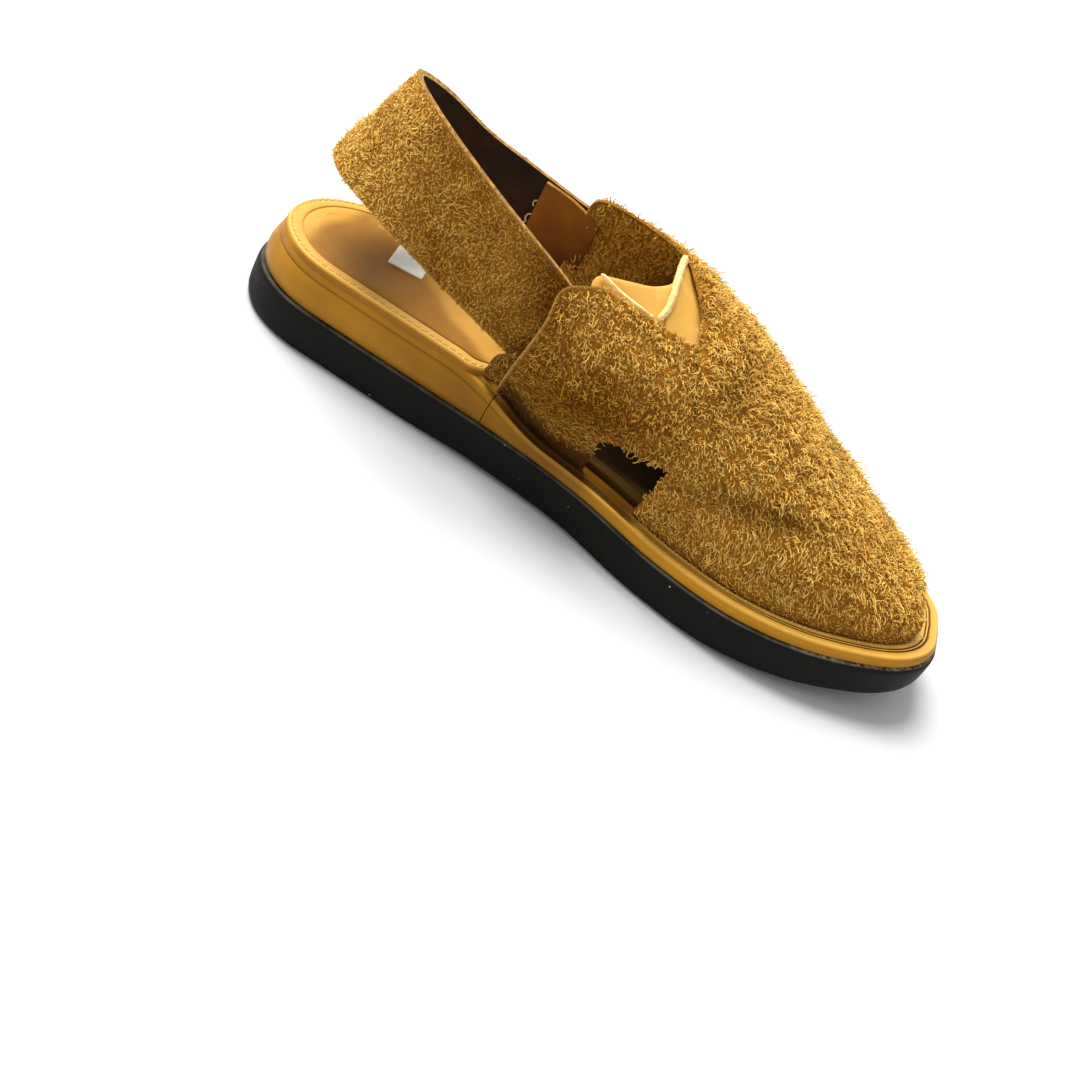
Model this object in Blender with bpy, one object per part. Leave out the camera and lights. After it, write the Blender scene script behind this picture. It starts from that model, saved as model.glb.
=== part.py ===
"""A left peshawari chappal: two broad shaggy straps crossed over the forefoot, a heel strap with its tab,
a tongue, and a wedge and midsole wrapped in leather on a rubber outsole.

Units are metres. The toe points along +X, the wearer's left (the outer side) is +Y, up is +Z, and the
origin is on the floor under the middle of the outsole. Run it with blender --background --python part.py
or from the text editor.
"""

import math

import bmesh
import bpy
import numpy as np

MM = 0.001

# Driving dimensions, in millimetres. A station is a share of the length, from heel 0 to toe 1, and an inset
# is measured in from the sole's outline.
LENGTH = 285.0
GAP = 0.3                    # clearance between pieces that touch

OUTSOLE_HEIGHT = 15.0
OUTSOLE_TAPER = 3.5          # how much thinner the outsole is at the toe than at the heel
TAPER_START = 0.45
TOE_SPRING = 12.0
SPRING_START = 0.66          # where the underside leaves the floor
TOP_SPRING_START = 0.58      # where the outsole's top starts to rise
ARCH_LIFT = 1.0              # how far the waist of the outsole stands off the floor
ARCH_START, ARCH_END = 0.27, 0.60
ARCH_RAMP = 0.11

WEDGE_HEIGHT = 14.5          # wrapped wall at the heel
RIM_HEIGHT = 4.2             # wrapped rim along the forefoot
WEDGE_END, RIM_START = 0.30, 0.46
SEAM_STATION = 0.37          # where the two wraps meet
WALL_INSET = 2.2             # foot of the wrapped wall
RIM_LEAN, WEDGE_LEAN = 1.0, 2.6

INSOLE_THICKNESS = 2.4
INSOLE_INSET = 6.4
INSOLE_NARROWING = 8.0       # it draws in under the straps
NARROWING_START, NARROWING_RUN = 0.29, 0.06

WALL = 3.4                   # strap leather with its deep nap
LAP = 0.5                    # how deep the upper strap is bedded in the lower one where they cross
STRAP_INSET = 9.0            # the foot of the straps
HEEL_STRAP_THICKNESS = 2.8   # doubled leather
TAB_THICKNESS = 2.0
TONGUE_THICKNESS = 1.8
TONGUE_GAP = 0.5             # between the tongue and the inside of the straps

# Each table starts with the names of its columns.

# Half widths of the sole on its inner and outer side.
SOLE_OUTLINE = (
    ("station", "inner", "outer"),
    (0.00, 36.0, 36.0),
    (0.15, 36.8, 36.8),
    (0.27, 37.0, 37.0),
    (0.40, 37.2, 37.6),
    (0.52, 40.5, 43.0),
    (0.64, 49.3, 51.8),
    (0.74, 52.5, 54.0),
    (0.84, 47.8, 49.5),
    (0.93, 37.0, 39.5),
    (1.00, 29.5, 30.0),
)
HEEL_ROUND, HEEL_FULLNESS = 0.13, 2.1     # how far the round heel reaches, and how full the round is
TOE_ROUND, TOE_FULLNESS = 0.11, 2.8       # the same for the squared toe

# The form that the straps are shaped on: greatest half widths, crown height above the midsole, the ridge's
# place across, and how far the section is set back from the edge's stations.
FORM = (
    ("station", "inner", "outer", "crown", "ridge", "setback"),
    (0.32, 47.5, 43.0, 71.0, 0.0, 0.0),
    (0.42, 50.5, 44.0, 72.0, -1.5, 0.0),
    (0.52, 50.0, 44.0, 67.5, -3.0, 0.0),
    (0.62, 47.5, 44.0, 58.5, -4.0, 0.0),
    (0.72, 45.5, 43.0, 45.0, -3.5, 0.0),
    (0.82, 41.0, 39.5, 30.5, -2.0, 0.0),
    (0.92, 31.0, 29.5, 15.5, -0.5, 0.0),
    (0.99, 17.0, 17.0, 7.5, 0.0, 11.0),
)
SECTION_SIDE, SECTION_CROWN = 2.25, 2.0   # how full the arch of a section is across and upwards

# A strap is the stretch of the form between its rear and its front edge. Around is -1 at the inner foot of
# the form, 0 on its ridge and 1 at its outer foot. Lift is how far the strap rides on the one below it, as a
# share of that strap.
INNER_TOE_STRAP = (
    ("around", "rear", "front", "lift"),
    (-1.00, 0.572, 0.991, 0.0),
    (-0.78, 0.588, 0.988, 0.0),
    (-0.60, 0.583, 0.983, 0.7),
    (-0.45, 0.566, 0.978, 1.0),
    (-0.34, 0.545, 0.974, 1.0),
    (-0.18, 0.525, 0.970, 1.0),
    (0.00, 0.490, 0.964, 1.0),
    (0.20, 0.445, 0.925, 1.0),
    (0.36, 0.385, 0.860, 1.0),
    (0.47, 0.338, 0.780, 1.0),
    (0.64, 0.332, 0.680, 0.8),
    (0.78, 0.332, 0.590, 0.2),
    (0.86, 0.333, 0.520, 0.0),
    (1.00, 0.338, 0.520, 0.0),
)
OUTER_TOE_STRAP = (
    ("around", "rear", "front", "lift"),
    (-1.00, 0.366, 0.515, 0.0),
    (-0.83, 0.375, 0.503, 0.0),
    (-0.75, 0.380, 0.583, 0.0),
    (-0.64, 0.384, 0.680, 0.0),
    (-0.49, 0.386, 0.780, 0.0),
    (-0.43, 0.405, 0.820, 0.0),
    (-0.38, 0.428, 0.850, 0.0),
    (-0.33, 0.500, 0.870, 0.0),
    (-0.28, 0.550, 0.890, 0.0),
    (-0.10, 0.560, 0.940, 0.0),
    (0.08, 0.562, 0.966, 0.0),
    (0.45, 0.565, 0.977, 0.0),
    (0.60, 0.583, 0.980, 0.0),
    (0.78, 0.588, 0.984, 0.0),
    (1.00, 0.572, 0.985, 0.0),
)
TONGUE = (
    ("around", "rear", "front", "lift"),
    (-0.45, 0.412, 0.600, 0.0),
    (-0.37, 0.406, 0.620, 0.0),
    (-0.27, 0.436, 0.635, 0.0),
    (-0.19, 0.462, 0.640, 0.0),
    (-0.11, 0.475, 0.645, 0.0),
    (0.02, 0.467, 0.650, 0.0),
    (0.12, 0.474, 0.650, 0.0),
    (0.20, 0.510, 0.640, 0.0),
)

# Bands that stand free: the low and the top edge of the outer face, from one end to the other.
HEEL_STRAP = (
    ("low_x", "low_y", "low_z", "top_x", "top_y", "top_z"),
    (122.0, -32.8, 36.5, 125.0, -28.8, 65.0),
    (101.8, -33.4, 43.0, 108.4, -29.6, 74.0),
    (74.0, -34.6, 50.6, 82.0, -32.6, 85.0),
    (45.0, -34.0, 58.5, 57.0, -32.5, 95.0),
    (21.0, -21.0, 60.0, 37.0, -20.0, 99.0),
    (11.0, 0.0, 59.5, 28.0, 0.0, 96.5),
    (18.5, 21.0, 58.0, 34.0, 20.0, 89.5),
    (38.0, 34.5, 54.0, 49.0, 34.0, 80.5),
    (62.0, 39.4, 50.0, 68.0, 38.4, 77.0),
    (93.3, 40.2, 46.5, 93.3, 38.4, 75.0),
)
STRAP_TAB = (
    ("low_x", "low_y", "low_z", "top_x", "top_y", "top_z"),
    (75.8, 36.4, 50.0, 75.8, 35.2, 75.5),
    (85.0, 36.6, 48.0, 85.0, 35.2, 75.2),
    (93.6, 36.8, 46.0, 93.6, 35.2, 74.0),
)

# Base colour and roughness of each finish.
FINISHES = {
    "rubber": ((0.012, 0.012, 0.011, 1.0), 0.65),
    "ochre_leather": ((0.50, 0.25, 0.03, 1.0), 0.5),
    "tan_leather": ((0.45, 0.24, 0.08, 1.0), 0.55),
    "shaggy_suede": ((0.43, 0.20, 0.025, 1.0), 0.95),
    "brown_leather": ((0.22, 0.075, 0.012, 1.0), 0.5),
}
SMOOTH_ANGLE = math.radians(35)


def column(table, name):
    names, *rows = table
    place = names.index(name)
    return [row[place] for row in rows]


MIDDLE_Y = (max(column(SOLE_OUTLINE, "outer")) - max(column(SOLE_OUTLINE, "inner"))) / 2


def smooth_curve(positions, values, at):
    """A smooth curve through values at positions, read at one position or at an array of them."""
    positions = np.asarray(positions, float)
    values = np.asarray(values, float)
    at = np.clip(np.asarray(at, float), positions[0], positions[-1])
    steps = np.diff(positions)
    slopes = np.diff(values) / steps
    tangents = np.empty(len(positions))
    tangents[0], tangents[-1] = slopes[0], slopes[-1]
    tangents[1:-1] = (steps[1:] * slopes[:-1] + steps[:-1] * slopes[1:]) / (steps[1:] + steps[:-1])
    i = np.clip(np.searchsorted(positions, at, side="right") - 1, 0, len(positions) - 2)
    t = (at - positions[i]) / steps[i]
    return (
        (2 * t**3 - 3 * t**2 + 1) * values[i]
        + (t**3 - 2 * t**2 + t) * steps[i] * tangents[i]
        + (3 * t**2 - 2 * t**3) * values[i + 1]
        + (t**3 - t**2) * steps[i] * tangents[i + 1]
    )


def ease(t):
    """0 up to t = 0, 1 from t = 1, and a smooth ramp between."""
    t = np.clip(t, 0.0, 1.0)
    return t * t * (3.0 - 2.0 * t)


def end_round(station):
    """The share of the half width that is left at a station, for the round heel and the squared toe."""
    into_heel = np.maximum(1 - station / HEEL_ROUND, 0)
    into_toe = np.maximum(1 - (1 - station) / TOE_ROUND, 0)
    at_heel = np.maximum(1 - into_heel**HEEL_FULLNESS, 0) ** (1 / HEEL_FULLNESS)
    at_toe = np.maximum(1 - into_toe**TOE_FULLNESS, 0) ** (1 / TOE_FULLNESS)
    return at_heel * at_toe


def edge_point(station, side, inset):
    """A point of the sole's edge on one side (-1 inner, 1 outer), moved in by an inset, as x and y."""
    widths = column(SOLE_OUTLINE, "inner" if side < 0 else "outer")

    def half_width(s):
        return smooth_curve(column(SOLE_OUTLINE, "station"), widths, s) * end_round(s)

    station = np.asarray(station, float)
    step = 1e-4
    ahead, behind = np.minimum(station + step, 1.0), np.maximum(station - step, 0.0)
    run = (ahead - behind) * LENGTH
    rise = half_width(ahead) - half_width(behind)
    size = np.hypot(run, rise)
    x = station * LENGTH + inset * rise / size
    y = side * (half_width(station) - inset * run / size)
    return x, y


def floor_gap(station):
    """Height of the outsole's underside above the floor: waist and toe stand off, heel and ball rest."""
    spring = TOE_SPRING * np.clip((station - SPRING_START) / (1 - SPRING_START), 0, 1) ** 2
    arch = ARCH_LIFT * ease((station - ARCH_START) / ARCH_RAMP) * ease((ARCH_END - station) / ARCH_RAMP)
    return spring + arch


def outsole_top(station):
    spring = TOE_SPRING * np.clip((station - TOP_SPRING_START) / (1 - TOP_SPRING_START), 0, 1) ** 2
    taper = OUTSOLE_TAPER * np.clip((station - TAPER_START) / (1 - TAPER_START), 0, 1)
    return OUTSOLE_HEIGHT - taper + spring


def wall_height(station):
    """Height of the wrapped wall: the wedge runs out into the rim."""
    return WEDGE_HEIGHT + (RIM_HEIGHT - WEDGE_HEIGHT) * ease((station - WEDGE_END) / (RIM_START - WEDGE_END))


def seat(station):
    """Height of the wrapped midsole's top."""
    return outsole_top(station) + wall_height(station)


def material(name):
    found = bpy.data.materials.get(name)
    if found:
        return found
    colour, roughness = FINISHES[name]
    made = bpy.data.materials.new(name)
    made.use_nodes = True
    shader = made.node_tree.nodes["Principled BSDF"]
    shader.inputs["Base Color"].default_value = colour
    shader.inputs["Roughness"].default_value = roughness
    shader.inputs["Metallic"].default_value = 0.0
    return made


def add_piece(name, points, faces, finish):
    """Makes an object from points in millimetres, measured from the back of the heel on the heel's axis."""
    points = (np.asarray(points, float) - (LENGTH / 2, MIDDLE_Y, 0.0)) * MM
    mesh = bpy.data.meshes.new(name)
    mesh.from_pydata([tuple(p) for p in points], [], faces)
    work = bmesh.new()
    work.from_mesh(mesh)
    bmesh.ops.remove_doubles(work, verts=work.verts, dist=1e-6)     # the round ends bring points together
    bmesh.ops.dissolve_degenerate(work, edges=work.edges, dist=1e-6)
    bmesh.ops.triangulate(work, faces=work.faces)
    work.to_mesh(mesh)
    work.free()
    mesh.shade_smooth()
    mesh.set_sharp_from_angle(angle=SMOOTH_ANGLE)
    mesh.materials.append(material(finish))
    piece = bpy.data.objects.new(name, mesh)
    bpy.context.scene.collection.objects.link(piece)
    return piece


def layer_stations(first, last):
    """Stations along a sole layer, closer together round the heel and the toe."""
    turn = np.linspace(0, math.pi / 2, 10)
    heel = HEEL_ROUND * (1 - np.cos(turn))
    toe = 1 - TOE_ROUND * (1 - np.sin(turn))
    middle = np.linspace(HEEL_ROUND, 1 - TOE_ROUND, 40)[1:-1]
    stations = np.concatenate([heel, middle, toe])
    shortest = 0.004
    inside = stations[(stations > first + shortest) & (stations < last - shortest)]
    return np.concatenate([[first], inside, [last]])


def sole_layer(name, profile, finish, first=0.0, last=1.0):
    """A closed layer of the sole. Each step of its profile has one function for inset and one for height."""
    stations = layer_stations(first, last)
    count = len(stations)
    rows = []
    for inset, height in profile:
        for side in (-1, 1):
            x, y = edge_point(stations, side, inset(stations))
            y = np.where((stations == 0.0) | (stations == 1.0), 0.0, y)
            rows.append(np.stack([x, y, height(x / LENGTH)], -1))

    def at(level, side, i):
        return (level * 2 + side) * count + i

    top, end = len(profile) - 1, count - 1
    faces = []
    for i in range(end):
        faces.append((at(0, 0, i), at(0, 1, i), at(0, 1, i + 1), at(0, 0, i + 1)))
        faces.append((at(top, 0, i), at(top, 0, i + 1), at(top, 1, i + 1), at(top, 1, i)))
    for level in range(top):
        for i in range(end):
            faces.append((at(level, 0, i), at(level, 0, i + 1), at(level + 1, 0, i + 1), at(level + 1, 0, i)))
            faces.append((at(level, 1, i + 1), at(level, 1, i), at(level + 1, 1, i), at(level + 1, 1, i + 1)))
        faces.append((at(level, 1, 0), at(level, 0, 0), at(level + 1, 0, 0), at(level + 1, 1, 0)))
        faces.append((at(level, 0, end), at(level, 1, end), at(level + 1, 1, end), at(level + 1, 0, end)))
    return add_piece(name, np.concatenate(rows), faces, finish)


def outsole():
    def step(inset, share):
        return (
            lambda s: np.full_like(s, inset),
            lambda s: floor_gap(s) + (outsole_top(s) - floor_gap(s)) * share,
        )

    profile = [step(2.2, 0.0), step(0.5, 0.10), step(0.0, 0.30), step(0.6, 0.90), step(1.6, 1.0)]
    sole_layer("outsole", profile, "rubber")


def wrapped_layer(name, first, last):
    """A stretch of the wedge and midsole: upright at its foot, leaning in, with a rounded top edge."""
    def lean(s):
        wedge = (wall_height(s) - RIM_HEIGHT) / (WEDGE_HEIGHT - RIM_HEIGHT)
        return RIM_LEAN + (WEDGE_LEAN - RIM_LEAN) * wedge

    def step(share, lean_share, round_in):
        return (
            lambda s: WALL_INSET + lean_share * lean(s) + round_in,
            lambda s: outsole_top(s) + GAP + (wall_height(s) - GAP) * share,
        )

    profile = [step(0.0, 0.0, 0.0), step(0.35, 0.15, 0.0), step(0.75, 0.8, 0.0), step(0.93, 1.3, 0.5),
               step(1.0, 1.5, 1.6)]
    sole_layer(name, profile, "ochre_leather", first, last)


def insole():
    def inset(s):
        return INSOLE_INSET + INSOLE_NARROWING * ease((s - NARROWING_START) / NARROWING_RUN)

    def step(share, round_in):
        return (lambda s: inset(s) + round_in, lambda s: seat(s) + GAP + INSOLE_THICKNESS * share)

    sole_layer("insole", [step(0.0, 0.3), step(0.5, 0.0), step(1.0, 0.8)], "tan_leather")


def form_point(station, around):
    """A point of the form under the straps."""
    station, around = np.broadcast_arrays(np.asarray(station, float), np.asarray(around, float))
    inward = around < 0
    inner_x, inner_y = edge_point(station, -1, STRAP_INSET)
    outer_x, outer_y = edge_point(station, 1, STRAP_INSET)
    foot_x = np.where(inward, inner_x, outer_x)
    foot_y = np.where(inward, inner_y, outer_y)
    inner, outer, crown, ridge, setback = (
        smooth_curve(column(FORM, "station"), column(FORM, name), station)
        for name in ("inner", "outer", "crown", "ridge", "setback")
    )
    widest = np.where(inward, -inner, outer)
    rise = (1 - np.abs(around)) * math.pi / 2
    across = np.maximum(np.cos(rise), 0.0) ** (2 / SECTION_SIDE)
    tuck = (widest - foot_y) * (1 - np.sin(rise)) ** 3      # brings the section's foot onto the sole's edge
    x = foot_x + (station * LENGTH - setback - foot_x) * (1 - across)
    y = ridge + across * (widest - ridge) - tuck
    z = seat(foot_x / LENGTH) + GAP + crown * np.maximum(np.sin(rise), 0.0) ** (2 / SECTION_CROWN)
    return np.stack([x, y, z], -1)


def form_normal(station, around):
    step = 1e-3
    along = form_point(station + step, around) - form_point(station - step, around)
    after, before = np.minimum(around + step, 1), np.maximum(around - step, -1)
    across = form_point(station, after) - form_point(station, before)
    normal = np.cross(along, across)
    return normal / np.linalg.norm(normal, axis=-1, keepdims=True)


def slab(name, outer, inner, finish):
    """A closed sheet between two grids of points with the same rows and columns."""
    rows, columns = outer.shape[:2]

    def at(r, c, layer):
        return (layer * rows + r) * columns + c

    faces = []
    for r in range(rows - 1):
        for c in range(columns - 1):
            faces.append((at(r, c, 0), at(r, c + 1, 0), at(r + 1, c + 1, 0), at(r + 1, c, 0)))
            faces.append((at(r, c, 1), at(r + 1, c, 1), at(r + 1, c + 1, 1), at(r, c + 1, 1)))
    last = columns - 1
    for r in range(rows - 1):
        faces.append((at(r, 0, 0), at(r + 1, 0, 0), at(r + 1, 0, 1), at(r, 0, 1)))
        faces.append((at(r + 1, last, 0), at(r, last, 0), at(r, last, 1), at(r + 1, last, 1)))
    last = rows - 1
    for c in range(columns - 1):
        faces.append((at(0, c + 1, 0), at(0, c, 0), at(0, c, 1), at(0, c + 1, 1)))
        faces.append((at(last, c, 0), at(last, c + 1, 0), at(last, c + 1, 1), at(last, c, 1)))
    return add_piece(name, np.concatenate([outer.reshape(-1, 3), inner.reshape(-1, 3)]), faces, finish)


def divided(places, longest):
    """The places with more between them, so that no step is longer than the longest."""
    stretches = [
        np.linspace(start, end, math.ceil((end - start) / longest), endpoint=False)
        for start, end in zip(places[:-1], places[1:])
    ]
    return np.concatenate(stretches + [[places[-1]]])


def form_sheet(name, table, finish, depth, thickness, around_step, along_steps):
    """A sheet of the form between a table's edges, its outer face at a depth below the form."""
    arounds = column(table, "around")
    around = divided(arounds, around_step)[:, None]
    rear, front, lift = (smooth_curve(arounds, column(table, edge), around) for edge in ("rear", "front", "lift"))
    station = rear + (front - rear) * np.linspace(0, 1, along_steps)
    outward = lift * (WALL - LAP) - depth
    base = form_point(station, around)
    normal = form_normal(station, around)
    outer = base + normal * outward[..., None]
    inner = base + normal * (outward - thickness)[..., None]
    for sheet in (outer, inner):
        lowest = seat(sheet[..., 0] / LENGTH) + GAP
        sheet[..., 2] = np.maximum(sheet[..., 2], lowest)
        for end in (0, -1):
            if abs(around[end, 0]) == 1.0:
                sheet[end, :, 2] = lowest[end]          # the foot stands flat on the midsole
    return slab(name, outer, inner, finish)


def upper():
    """Both straps as one solid, joined where they cross."""
    steps = {"around_step": 0.05, "along_steps": 13}
    top = form_sheet("upper", INNER_TOE_STRAP, "shaggy_suede", 0.0, WALL, **steps)
    below = form_sheet("strap_below", OUTER_TOE_STRAP, "shaggy_suede", 0.0, WALL, **steps)
    below.hide_render = True
    below.display_type = "WIRE"
    join = top.modifiers.new("join", "BOOLEAN")
    join.operation = "UNION"
    join.object = below


def tongue():
    form_sheet("tongue", TONGUE, "tan_leather", WALL + TONGUE_GAP, TONGUE_THICKNESS, 0.045, 10)


def band(name, table, finish, thickness, along_steps, across_steps=5):
    """A free band: its outer face runs between two edges, and its thickness goes inwards."""
    places = np.linspace(0, 1, len(table) - 1)
    at = np.linspace(0, 1, along_steps)

    def edge(which):
        return np.stack([smooth_curve(places, column(table, f"{which}_{axis}"), at) for axis in "xyz"], -1)

    share = np.linspace(0, 1, across_steps)[None, :, None]
    outer = edge("low")[:, None] * (1 - share) + edge("top")[:, None] * share
    normal = np.cross(np.gradient(outer, axis=1), np.gradient(outer, axis=0))
    normal /= np.linalg.norm(normal, axis=-1, keepdims=True)
    return slab(name, outer, outer - normal * thickness, finish)


def build():
    for old in list(bpy.data.objects):
        bpy.data.objects.remove(old)
    outsole()
    wrapped_layer("heel_wedge", 0.0, SEAM_STATION)
    wrapped_layer("midsole", SEAM_STATION + GAP / LENGTH, 1.0)
    insole()
    upper()
    tongue()
    band("heel_strap", HEEL_STRAP, "shaggy_suede", HEEL_STRAP_THICKNESS, 56)
    band("strap_tab", STRAP_TAB, "brown_leather", TAB_THICKNESS, 14)


build()
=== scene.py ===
import math

import bmesh
import bpy
import numpy as np
from mathutils import Matrix, Vector


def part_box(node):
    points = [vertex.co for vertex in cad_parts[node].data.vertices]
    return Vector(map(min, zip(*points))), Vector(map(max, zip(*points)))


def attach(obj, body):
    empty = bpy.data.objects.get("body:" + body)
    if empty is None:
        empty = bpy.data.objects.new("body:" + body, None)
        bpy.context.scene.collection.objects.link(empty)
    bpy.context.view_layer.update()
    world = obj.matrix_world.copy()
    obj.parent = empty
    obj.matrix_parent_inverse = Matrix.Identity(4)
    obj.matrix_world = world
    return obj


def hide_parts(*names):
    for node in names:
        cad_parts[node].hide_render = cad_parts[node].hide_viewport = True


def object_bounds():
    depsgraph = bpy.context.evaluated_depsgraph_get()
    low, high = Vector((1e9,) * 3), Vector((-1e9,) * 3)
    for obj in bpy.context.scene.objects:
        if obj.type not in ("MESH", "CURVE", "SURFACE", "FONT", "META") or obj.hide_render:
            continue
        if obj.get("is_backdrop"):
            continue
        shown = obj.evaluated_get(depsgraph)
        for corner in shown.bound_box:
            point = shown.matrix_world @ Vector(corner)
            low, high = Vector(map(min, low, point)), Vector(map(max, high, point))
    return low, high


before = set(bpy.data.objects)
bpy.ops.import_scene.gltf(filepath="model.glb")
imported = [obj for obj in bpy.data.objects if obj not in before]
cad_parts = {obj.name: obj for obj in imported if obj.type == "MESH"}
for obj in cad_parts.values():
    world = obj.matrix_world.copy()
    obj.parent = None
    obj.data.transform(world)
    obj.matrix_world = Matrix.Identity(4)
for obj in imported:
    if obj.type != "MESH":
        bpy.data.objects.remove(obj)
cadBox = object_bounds()
soleLow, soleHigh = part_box("outsole")
length = (soleHigh.x - soleLow.x) * 1000      # sizes here are in millimetres, from the back of the heel

# Stations run from 0 at the back of the heel to 1 at the toe. A negative side is the foot's inner side.
sandal = {
    "middleY": 0.75, "gap": 0.3,
    "outsoleHeight": 15.0, "outsoleTaper": 3.5, "taperStart": 0.45,
    "toeSpring": 12.0, "springStart": 0.66, "topSpringStart": 0.58,
    "archLift": 1.0, "archStart": 0.27, "archEnd": 0.60, "archRamp": 0.11,
    "wedgeHeight": 14.5, "rimHeight": 4.2, "wedgeEnd": 0.30, "rimStart": 0.46,
    "seam": 0.37,
    "insoleThickness": 2.4, "insoleInset": 4.3, "insoleNarrowing": 10.1,
    "narrowingStart": 0.322, "narrowingRun": 0.042,
    "wall": 3.4, "lap": 0.5, "strapInset": 9.0,
    "heelRound": 0.13, "heelFullness": 2.1, "toeRound": 0.11, "toeFullness": 2.8,
    "sectionSide": 2.25, "sectionCrown": 2.0,
}
soleOutline = {
    "station": (0.00, 0.15, 0.27, 0.40, 0.52, 0.64, 0.74, 0.84, 0.93, 1.00),
    "inner": (36.0, 36.8, 37.0, 37.2, 40.5, 49.3, 52.5, 47.8, 37.0, 29.5),
    "outer": (36.0, 36.8, 37.0, 37.6, 43.0, 51.8, 54.0, 49.5, 39.5, 30.0),
}


# a smooth curve through values that are given at places
def smoothCurve(places, values, at):
    places, values = np.asarray(places, float), np.asarray(values, float)
    at = np.clip(np.asarray(at, float), places[0], places[-1])
    steps = np.diff(places)
    slopes = np.diff(values) / steps
    lean = np.empty(len(places))
    lean[0], lean[-1] = slopes[0], slopes[-1]
    lean[1:-1] = (steps[1:] * slopes[:-1] + steps[:-1] * slopes[1:]) / (steps[1:] + steps[:-1])
    i = np.clip(np.searchsorted(places, at, side="right") - 1, 0, len(places) - 2)
    t = (at - places[i]) / steps[i]
    return (
        (2 * t**3 - 3 * t**2 + 1) * values[i]
        + (t**3 - 2 * t**2 + t) * steps[i] * lean[i]
        + (3 * t**2 - 2 * t**3) * values[i + 1]
        + (t**3 - t**2) * steps[i] * lean[i + 1]
    )


# a smooth curve for each coordinate of a row of stops, from 0 at the first to 1 at the last
def smoothPath(stops, at):
    return [smoothCurve(np.linspace(0, 1, len(stops)), column, at) for column in zip(*stops)]


def ease(t):
    t = np.clip(t, 0.0, 1.0)
    return t * t * (3.0 - 2.0 * t)


# 1 at an edge, falling away over a reach
def nearEdge(distance, reach):
    return np.exp(-((distance / reach) ** 2))


def unit(vectors):
    return vectors / np.maximum(np.linalg.norm(vectors, axis=-1, keepdims=True), 1e-9)


def endRound(s):
    intoHeel = np.maximum(1 - s / sandal["heelRound"], 0)
    intoToe = np.maximum(1 - (1 - s) / sandal["toeRound"], 0)
    heel = np.maximum(1 - intoHeel ** sandal["heelFullness"], 0) ** (1 / sandal["heelFullness"])
    toe = np.maximum(1 - intoToe ** sandal["toeFullness"], 0) ** (1 / sandal["toeFullness"])
    return heel * toe


# a place on the outline, or on a line that runs inside it at an inset
def edgePoint(s, side, inset):
    widths = soleOutline["inner" if side < 0 else "outer"]

    def half(at):
        return smoothCurve(soleOutline["station"], widths, at) * endRound(at)

    s = np.asarray(s, float)
    ahead, behind = np.minimum(s + 1e-4, 1.0), np.maximum(s - 1e-4, 0.0)
    run = (ahead - behind) * length
    rise = half(ahead) - half(behind)
    size = np.hypot(run, rise)
    return s * length + inset * rise / size, side * (half(s) - inset * run / size)


def floorGap(s):
    g = sandal
    spring = g["toeSpring"] * np.clip((s - g["springStart"]) / (1 - g["springStart"]), 0, 1) ** 2
    up, down = ease((s - g["archStart"]) / g["archRamp"]), ease((g["archEnd"] - s) / g["archRamp"])
    return spring + g["archLift"] * up * down


def outsoleTop(s):
    g = sandal
    spring = g["toeSpring"] * np.clip((s - g["topSpringStart"]) / (1 - g["topSpringStart"]), 0, 1) ** 2
    taper = g["outsoleTaper"] * np.clip((s - g["taperStart"]) / (1 - g["taperStart"]), 0, 1)
    return g["outsoleHeight"] - taper + spring


def wedgeShare(s):
    return 1 - ease((s - sandal["wedgeEnd"]) / (sandal["rimStart"] - sandal["wedgeEnd"]))


def wallHeight(s):
    return sandal["rimHeight"] + (sandal["wedgeHeight"] - sandal["rimHeight"]) * wedgeShare(s)


def seat(s):
    return outsoleTop(s) + wallHeight(s)


def toWorld(points):
    return (np.asarray(points, float) - (length / 2, sandal["middleY"], 0.0)) * 0.001


# a screen colour, 0 to 255, as the shader wants it
def paint(r, g, b):
    shares = [c / 255 for c in (r, g, b)]
    return tuple(c / 12.92 if c <= 0.04045 else ((c + 0.055) / 1.055) ** 2.4 for c in shares) + (1.0,)


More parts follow.
